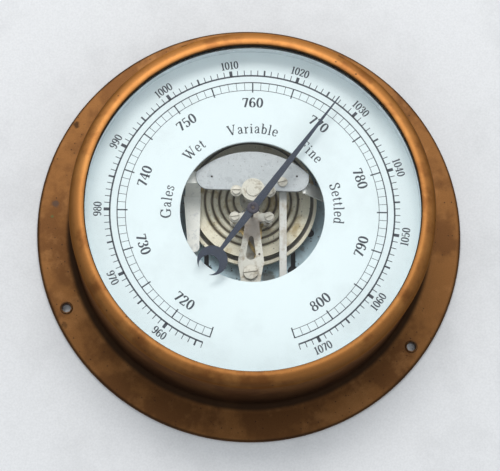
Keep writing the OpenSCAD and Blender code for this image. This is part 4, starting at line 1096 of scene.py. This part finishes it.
class BAROMETER_OT_bezel(bpy.types.Operator):
    """Builds the bezel, its gasket, the glass and the spacer ring under it"""
    bl_idname = "barometer.bezel"
    bl_label = "Bezel and glass"

    def execute(self, context):
        out = radius_of("bezel")
        high = top_of("bezel") - sizes().lip_drop / MM
        seat = 34.0
        view = 57.0
        skirt_in = 59.45
        skirt_out = 60.25
        skirt_low = 29.55
        step_r = 61.55
        pane_low = low_of("glass")
        pane_high = top_of("glass")
        under_lip = pane_high + 0.5
        gap = 0.02
        rise = high - seat
        profile = arc(out - rise, seat, rise, 4, 86, 24)
        profile += arc(view + 0.22, high - 0.25, 0.22, 90, 180, 5)
        profile += [(view, under_lip + 0.06), (view + 0.06, under_lip), (skirt_in, under_lip),
                    (skirt_in, skirt_low), (skirt_out, skirt_low), (skirt_out, seat), (step_r, seat),
                    (step_r, seat + 0.35)]
        spun("spun_bezel", profile, "case", slot_finish("bezel_brass"), ("bezel",), turns=360)
        rings = (
            ("gasket_ring", 56.8, 59.2, pane_high, under_lip, 0.1, "gasket_black", "bezel_gasket"),
            ("black_spacer", 57.25, 59.25, top_of("dial"), pane_low, 0.15, "ring_black", "spacer_ring"))
        for name, inner, outer, low, top, soft, slot, node in rings:
            outline = rounded([(outer, low + gap), (outer, top - gap), (inner, top - gap),
                               (inner, low + gap)], soft)
            spun(name, outline, "case", slot_finish(slot), (node,))
        rim = 59.25
        chamfer = 0.2
        pane = [(0, pane_low), (rim - chamfer, pane_low), (rim, pane_low + chamfer),
                (rim, pane_high - chamfer), (rim - chamfer, pane_high), (0, pane_high)]
        spun("flat_pane", pane, "case", slot_finish("glass_clear"), ("glass",))
        return {"FINISHED"}


class BAROMETER_OT_dial(bpy.types.Operator):
    """Builds the enamelled dial with its open middle"""
    bl_idname = "barometer.dial"
    bl_label = "Dial"

    def execute(self, context):
        low, high = low_of("dial"), top_of("dial")
        out = radius_of("dial")
        profile = rounded([(24.7, low, 0.1), (out, low, 0.1), (out, high, 0.1), (24.7, high, 0.22)], 0.1, 5)
        spun("enamel_dial", profile, "case", slot_finish("dial_white"), ("dial",), turns=360)
        return {"FINISHED"}


class BAROMETER_OT_scales(bpy.types.Operator):
    """Prints the two scales with their lines and ticks"""
    bl_idname = "barometer.scales"
    bl_label = "Scales"

    def execute(self, context):
        s = sizes()
        scale = Print()
        ring, line = s.hpa_line_r / MM, s.hpa_line_w / MM
        first, last, middle, turn = 954, 1073, 1013.25, 2.7
        scale.band(ring - line / 2, ring + line / 2, (first - middle) * turn, (last - middle) * turn)
        for value in range(first, last + 1):
            clock = (value - middle) * turn
            wide, long = s.hpa_tick_w / MM, s.hpa_tick / MM
            if value % 10 == 0:
                wide, long = 1.05, 2.05
            elif value % 5 == 0:
                wide, long = 0.6, 2.05
            scale.tick(clock, ring, ring + long, wide)
        outer, inner = s.ladder_out_r / MM, s.ladder_in_r / MM
        first, last, middle, turn = 715, 805, 760, 3.6
        start, end = (first - middle) * turn, (last - middle) * turn
        scale.band(outer - 0.18, outer + 0.18, start, end)
        scale.band(inner - 0.1, inner + 0.1, start, end)
        for value in range(first, last + 1):
            clock = (value - middle) * turn
            if value in (first, last):
                scale.tick(clock, inner - 0.8, outer + 0.18, 0.42)
            elif value % 5 == 0:
                scale.tick(clock, inner - 0.8, outer, 0.45)
            else:
                scale.tick(clock, inner, outer, 0.17)
        scale.make("printed_scales")
        return {"FINISHED"}


class BAROMETER_OT_numerals(bpy.types.Operator):
    """Prints the numerals of both scales and the words of the weather"""
    bl_idname = "barometer.numerals"
    bl_label = "Numerals and words"

    def execute(self, context):
        s = sizes()
        numerals = Print()
        for value in range(960, 1071, 10):
            numerals.words(
                str(value), (value - 1013.25) * 2.7, s.hpa_text_r / MM, s.hpa_text_h / MM, 1.06, 0.03)
        for value in range(720, 801, 10):
            numerals.words(
                str(value), (value - 760) * 3.6, s.ladder_text_r / MM, s.ladder_text_h / MM, 1.2, 0.05)
        numerals.make("printed_numerals")
        words = Print()
        for text, clock in (("Gales", -84), ("Wet", -43), ("Variable", 0), ("Fine", 43), ("Settled", 84)):
            words.words(text, clock, s.word_r / MM, s.word_h / MM, 1.08, 0.12)
        words.make("printed_words")
        return {"FINISHED"}


class BAROMETER_OT_movement(bpy.types.Operator):
    """Builds the sheets of the bridge, the train and the rocking bar with softened edges"""
    bl_idname = "barometer.movement"
    bl_label = "Movement sheets"

    def execute(self, context):
        for node in ("bridge_plate", "bridge_leg_left", "bridge_leg_right", "stem_guide", "capsule_stem",
                     "train_lower_plate", "train_cock", "sector_wheel", "rocking_bar", "lifting_arm",
                     "drive_fork", "upper_bar_bracket", "lower_bar_bracket", "base_plate",
                     "bridge_rivets"):
            # The legs take the lighter, painted-light copy of the bridge sheet
            slot = "leg_metal" if "leg" in node else NODES[node]["slot_name"]
            sheet = eased(node, slot_finish(slot))
            if node == "capsule_stem":
                for vertex in sheet.data.vertices:
                    if vertex.co.z > (top_of(node) - 0.5) * MM:
                        vertex.co.z -= sizes().stem_drop
        return {"FINISHED"}


class BAROMETER_OT_pointer(bpy.types.Operator):
    """Builds the pointer with its crescent, and the domed cap of its hub"""
    bl_idname = "barometer.pointer"
    bl_label = "Pointer"

    def execute(self, context):
        blade = eased("pointer", slot_finish("pointer_blue"), 0.05 * MM)
        tip = max((v.co.xy for v in blade.data.vertices), key=lambda p: p.length).normalized()
        for vertex in blade.data.vertices:
            along = vertex.co.xy.dot(tip) / MM
            side = vertex.co.xy - tip * along * MM
            if along > 2.5:
                side *= 0.8
            elif -15 < along < -2.5:
                side *= 0.88
            vertex.co.xy = tip * along * MM + side
        profile = [(0.57, 32.0), (1.3, 32.0), (1.3, 33.35), (1.0, 33.4), (1.0, 33.8), (2.05, 33.8),
                   (2.05, 34.0), (1.95, 34.12), (1.7, 34.18), (0.9, 34.2), (0.75, 34.12), (0.57, 34.1)]
        spun("hub_cap", profile, "pointer", slot_finish("hub_dark"), ("pointer_hub",), turns=96)
        return {"FINISHED"}


class BAROMETER_OT_screws(bpy.types.Operator):
    """Builds the slotted screws that show through the dial"""
    bl_idname = "barometer.screws"
    bl_label = "Screws"

    def execute(self, context):
        steel = slot_finish("screw_steel")
        bridge = top_of("bridge_plate")
        ears = bridge + 0.7
        cock = top_of("train_cock")
        slotted("guide_screws", "stem_guide_screws", [(-5.5, 8.0, ears, 0), (6.1, 8.0, ears, 80)],
                1.5, 0.9, 0.6, 1.8, steel)
        slotted("plate_screw", "bridge_plate_screw", [(10.45, 11.3, bridge, 12)],
                1.7, 0.9, 0.7, 2.3, steel)
        slotted("cock_screws", "cock_small_screws", [(-5.85, -0.4, cock, 8), (5.85, -0.4, cock, 25)],
                1.5, 0.9, 0.5, 2.9, steel)
        slotted("main_screw", "cock_main_screw", [(-0.4, -20.0, cock, 8)], 2.55, 1.1, 0.8, 10.9, steel)
        return {"FINISHED"}


def lay_floor(scene):
    """The table top, just under the flange."""
    half = 1.5
    below = 0.05 * MM
    tone = colours().floor
    mesh = bpy.data.meshes.new("floor")
    mesh.from_pydata([(-half, -half, 0), (half, -half, 0), (half, half, 0), (-half, half, 0)], [],
                     [(0, 1, 2, 3)])
    floor = bpy.data.objects.new("floor", mesh)
    floor.location.z = -below
    scene.collection.objects.link(floor)
    mesh.materials.append(finish(
        "table_top", tone, tuple(v * 0.94 for v in tone), tone, 0.0, patch=26.0, dark_share=0.35,
        light_share=0.2, grain=0.09, grain_size=0.7, wear=0.0, speck_depth=0.0, roughness=0.8,
        bump=0.01))


def light_sky(scene):
    """Soft light, stronger from above and behind, and the pale room that the brass mirrors."""
    stage = scene.barometer_stage
    world = bpy.data.worlds.new("sky")
    world.use_nodes = True
    world.node_tree.nodes.clear()
    net = Net(world.node_tree)
    path = net.put("ShaderNodeLightPath").outputs
    mirrored = net.sum("MAXIMUM", path["Is Glossy Ray"], path["Is Transmission Ray"])
    seen = net.sum("MAXIMUM", path["Is Camera Ray"], mirrored)
    way = net.put("ShaderNodeTexCoord").outputs["Generated"]
    above = net.vector("DOT_PRODUCT", way, (-0.08, 0.5, 0.86))["Value"]
    window = net.vector("DOT_PRODUCT", way, (0.0, 0.88, 0.48))["Value"]
    sky = net.step(above, -0.7, 0.9, stage.far_side, 1.0)
    wall = net.step(window, 0.35, 0.95, stage.far_side * 0.6, 1.0)
    wall = net.sum("MAXIMUM", wall, path["Is Camera Ray"])
    light = net.put("ShaderNodeBackground", {
        "Color": (0.91, 0.96, 1.0), "Strength": net.sum("MULTIPLY", sky, stage.sky)})
    pale = net.put("ShaderNodeBackground", {
        "Color": (1.0, 1.0, 1.0), "Strength": net.sum("MULTIPLY", wall, stage.backdrop)})
    both = net.put("ShaderNodeMixShader", {0: seen, 1: light.outputs[0], 2: pale.outputs[0]})
    net.put("ShaderNodeOutputWorld", {"Surface": both.outputs[0]})
    scene.world = world


def hang_lamp(scene):
    """One large soft lamp beyond the top of the dial."""
    lamp = bpy.data.lights.new("key", "AREA")
    lamp.shape = "RECTANGLE"
    lamp.size = 0.7
    lamp.size_y = 0.34
    lamp.color = (1.0, 0.975, 0.945)
    lamp.energy = scene.barometer_stage.key
    key = bpy.data.objects.new("key", lamp)
    scene.collection.objects.link(key)
    key.location = (-0.03, 0.56, 0.945)
    key.rotation_euler = (-key.location).to_track_quat("-Z", "Y").to_euler()


def set_camera(scene):
    """The camera of the photo: tilted from straight above, and aimed near the dial's middle."""
    tilt = math.radians(14.534)
    side = math.radians(8.061)
    roll = math.radians(-0.1)
    away = 685.0
    shift_x = 0.862
    shift_y = 8.307
    back = Vector((-math.sin(tilt) * math.sin(side), -math.sin(tilt) * math.cos(side), math.cos(tilt)))
    right = Vector((math.sin(roll), math.cos(roll), 0)).cross(back).normalized()
    up = back.cross(right)
    place = back * away - right * shift_x - up * shift_y + Vector((0, 0, top_of("dial")))
    view = bpy.data.cameras.new("camera")
    view.sensor_width = 36
    view.lens = 144.72
    view.clip_start = 0.01
    camera = bpy.data.objects.new("camera", view)
    scene.collection.objects.link(camera)
    turn = Matrix((right, up, back)).transposed().to_4x4()
    camera.matrix_world = Matrix.Translation(place * MM) @ turn
    scene.camera = camera


class BAROMETER_OT_stage(bpy.types.Operator):
    """Lays the floor and sets the lamp, the sky and the camera"""
    bl_idname = "barometer.stage"
    bl_label = "Floor, light and camera"

    def execute(self, context):
        for step in (lay_floor, light_sky, hang_lamp, set_camera):
            step(context.scene)
        context.scene.view_settings.view_transform = "Standard"
        return {"FINISHED"}


STEPS = [BAROMETER_OT_finishes, BAROMETER_OT_case, BAROMETER_OT_bezel, BAROMETER_OT_dial,
         BAROMETER_OT_scales, BAROMETER_OT_numerals, BAROMETER_OT_movement, BAROMETER_OT_screws,
         BAROMETER_OT_pointer, BAROMETER_OT_stage]


class BAROMETER_PT_panel(bpy.types.Panel):
    """Lists the steps and the values of the barometer"""
    bl_idname = "BAROMETER_PT_panel"
    bl_label = "Marine barometer"
    bl_space_type = "VIEW_3D"
    bl_region_type = "UI"
    bl_category = "Barometer"

    def draw(self, context):
        for step in STEPS:
            self.layout.operator(step.bl_idname, text=step.bl_label)
        for label in ("barometer_sizes", "barometer_colours", "barometer_stage"):
            values = getattr(context.scene, label)
            box = self.layout.box()
            for key in values.__annotations__:
                box.prop(values, key)


GROUPS = {"barometer_sizes": BarometerSizes, "barometer_colours": BarometerColours,
          "barometer_stage": StageSettings}


def register():
    for kind in [*GROUPS.values(), *STEPS, BAROMETER_PT_panel]:
        bpy.utils.register_class(kind)
    for label, kind in GROUPS.items():
        setattr(bpy.types.Scene, label, bpy.props.PointerProperty(type=kind))


def unregister():
    for label in GROUPS:
        delattr(bpy.types.Scene, label)
    for kind in reversed([*GROUPS.values(), *STEPS, BAROMETER_PT_panel]):
        bpy.utils.unregister_class(kind)


def main():
    register()
    for step in STEPS:
        section, name = step.bl_idname.split(".")
        getattr(getattr(bpy.ops, section), name)()


if __name__ == "__main__":
    main()
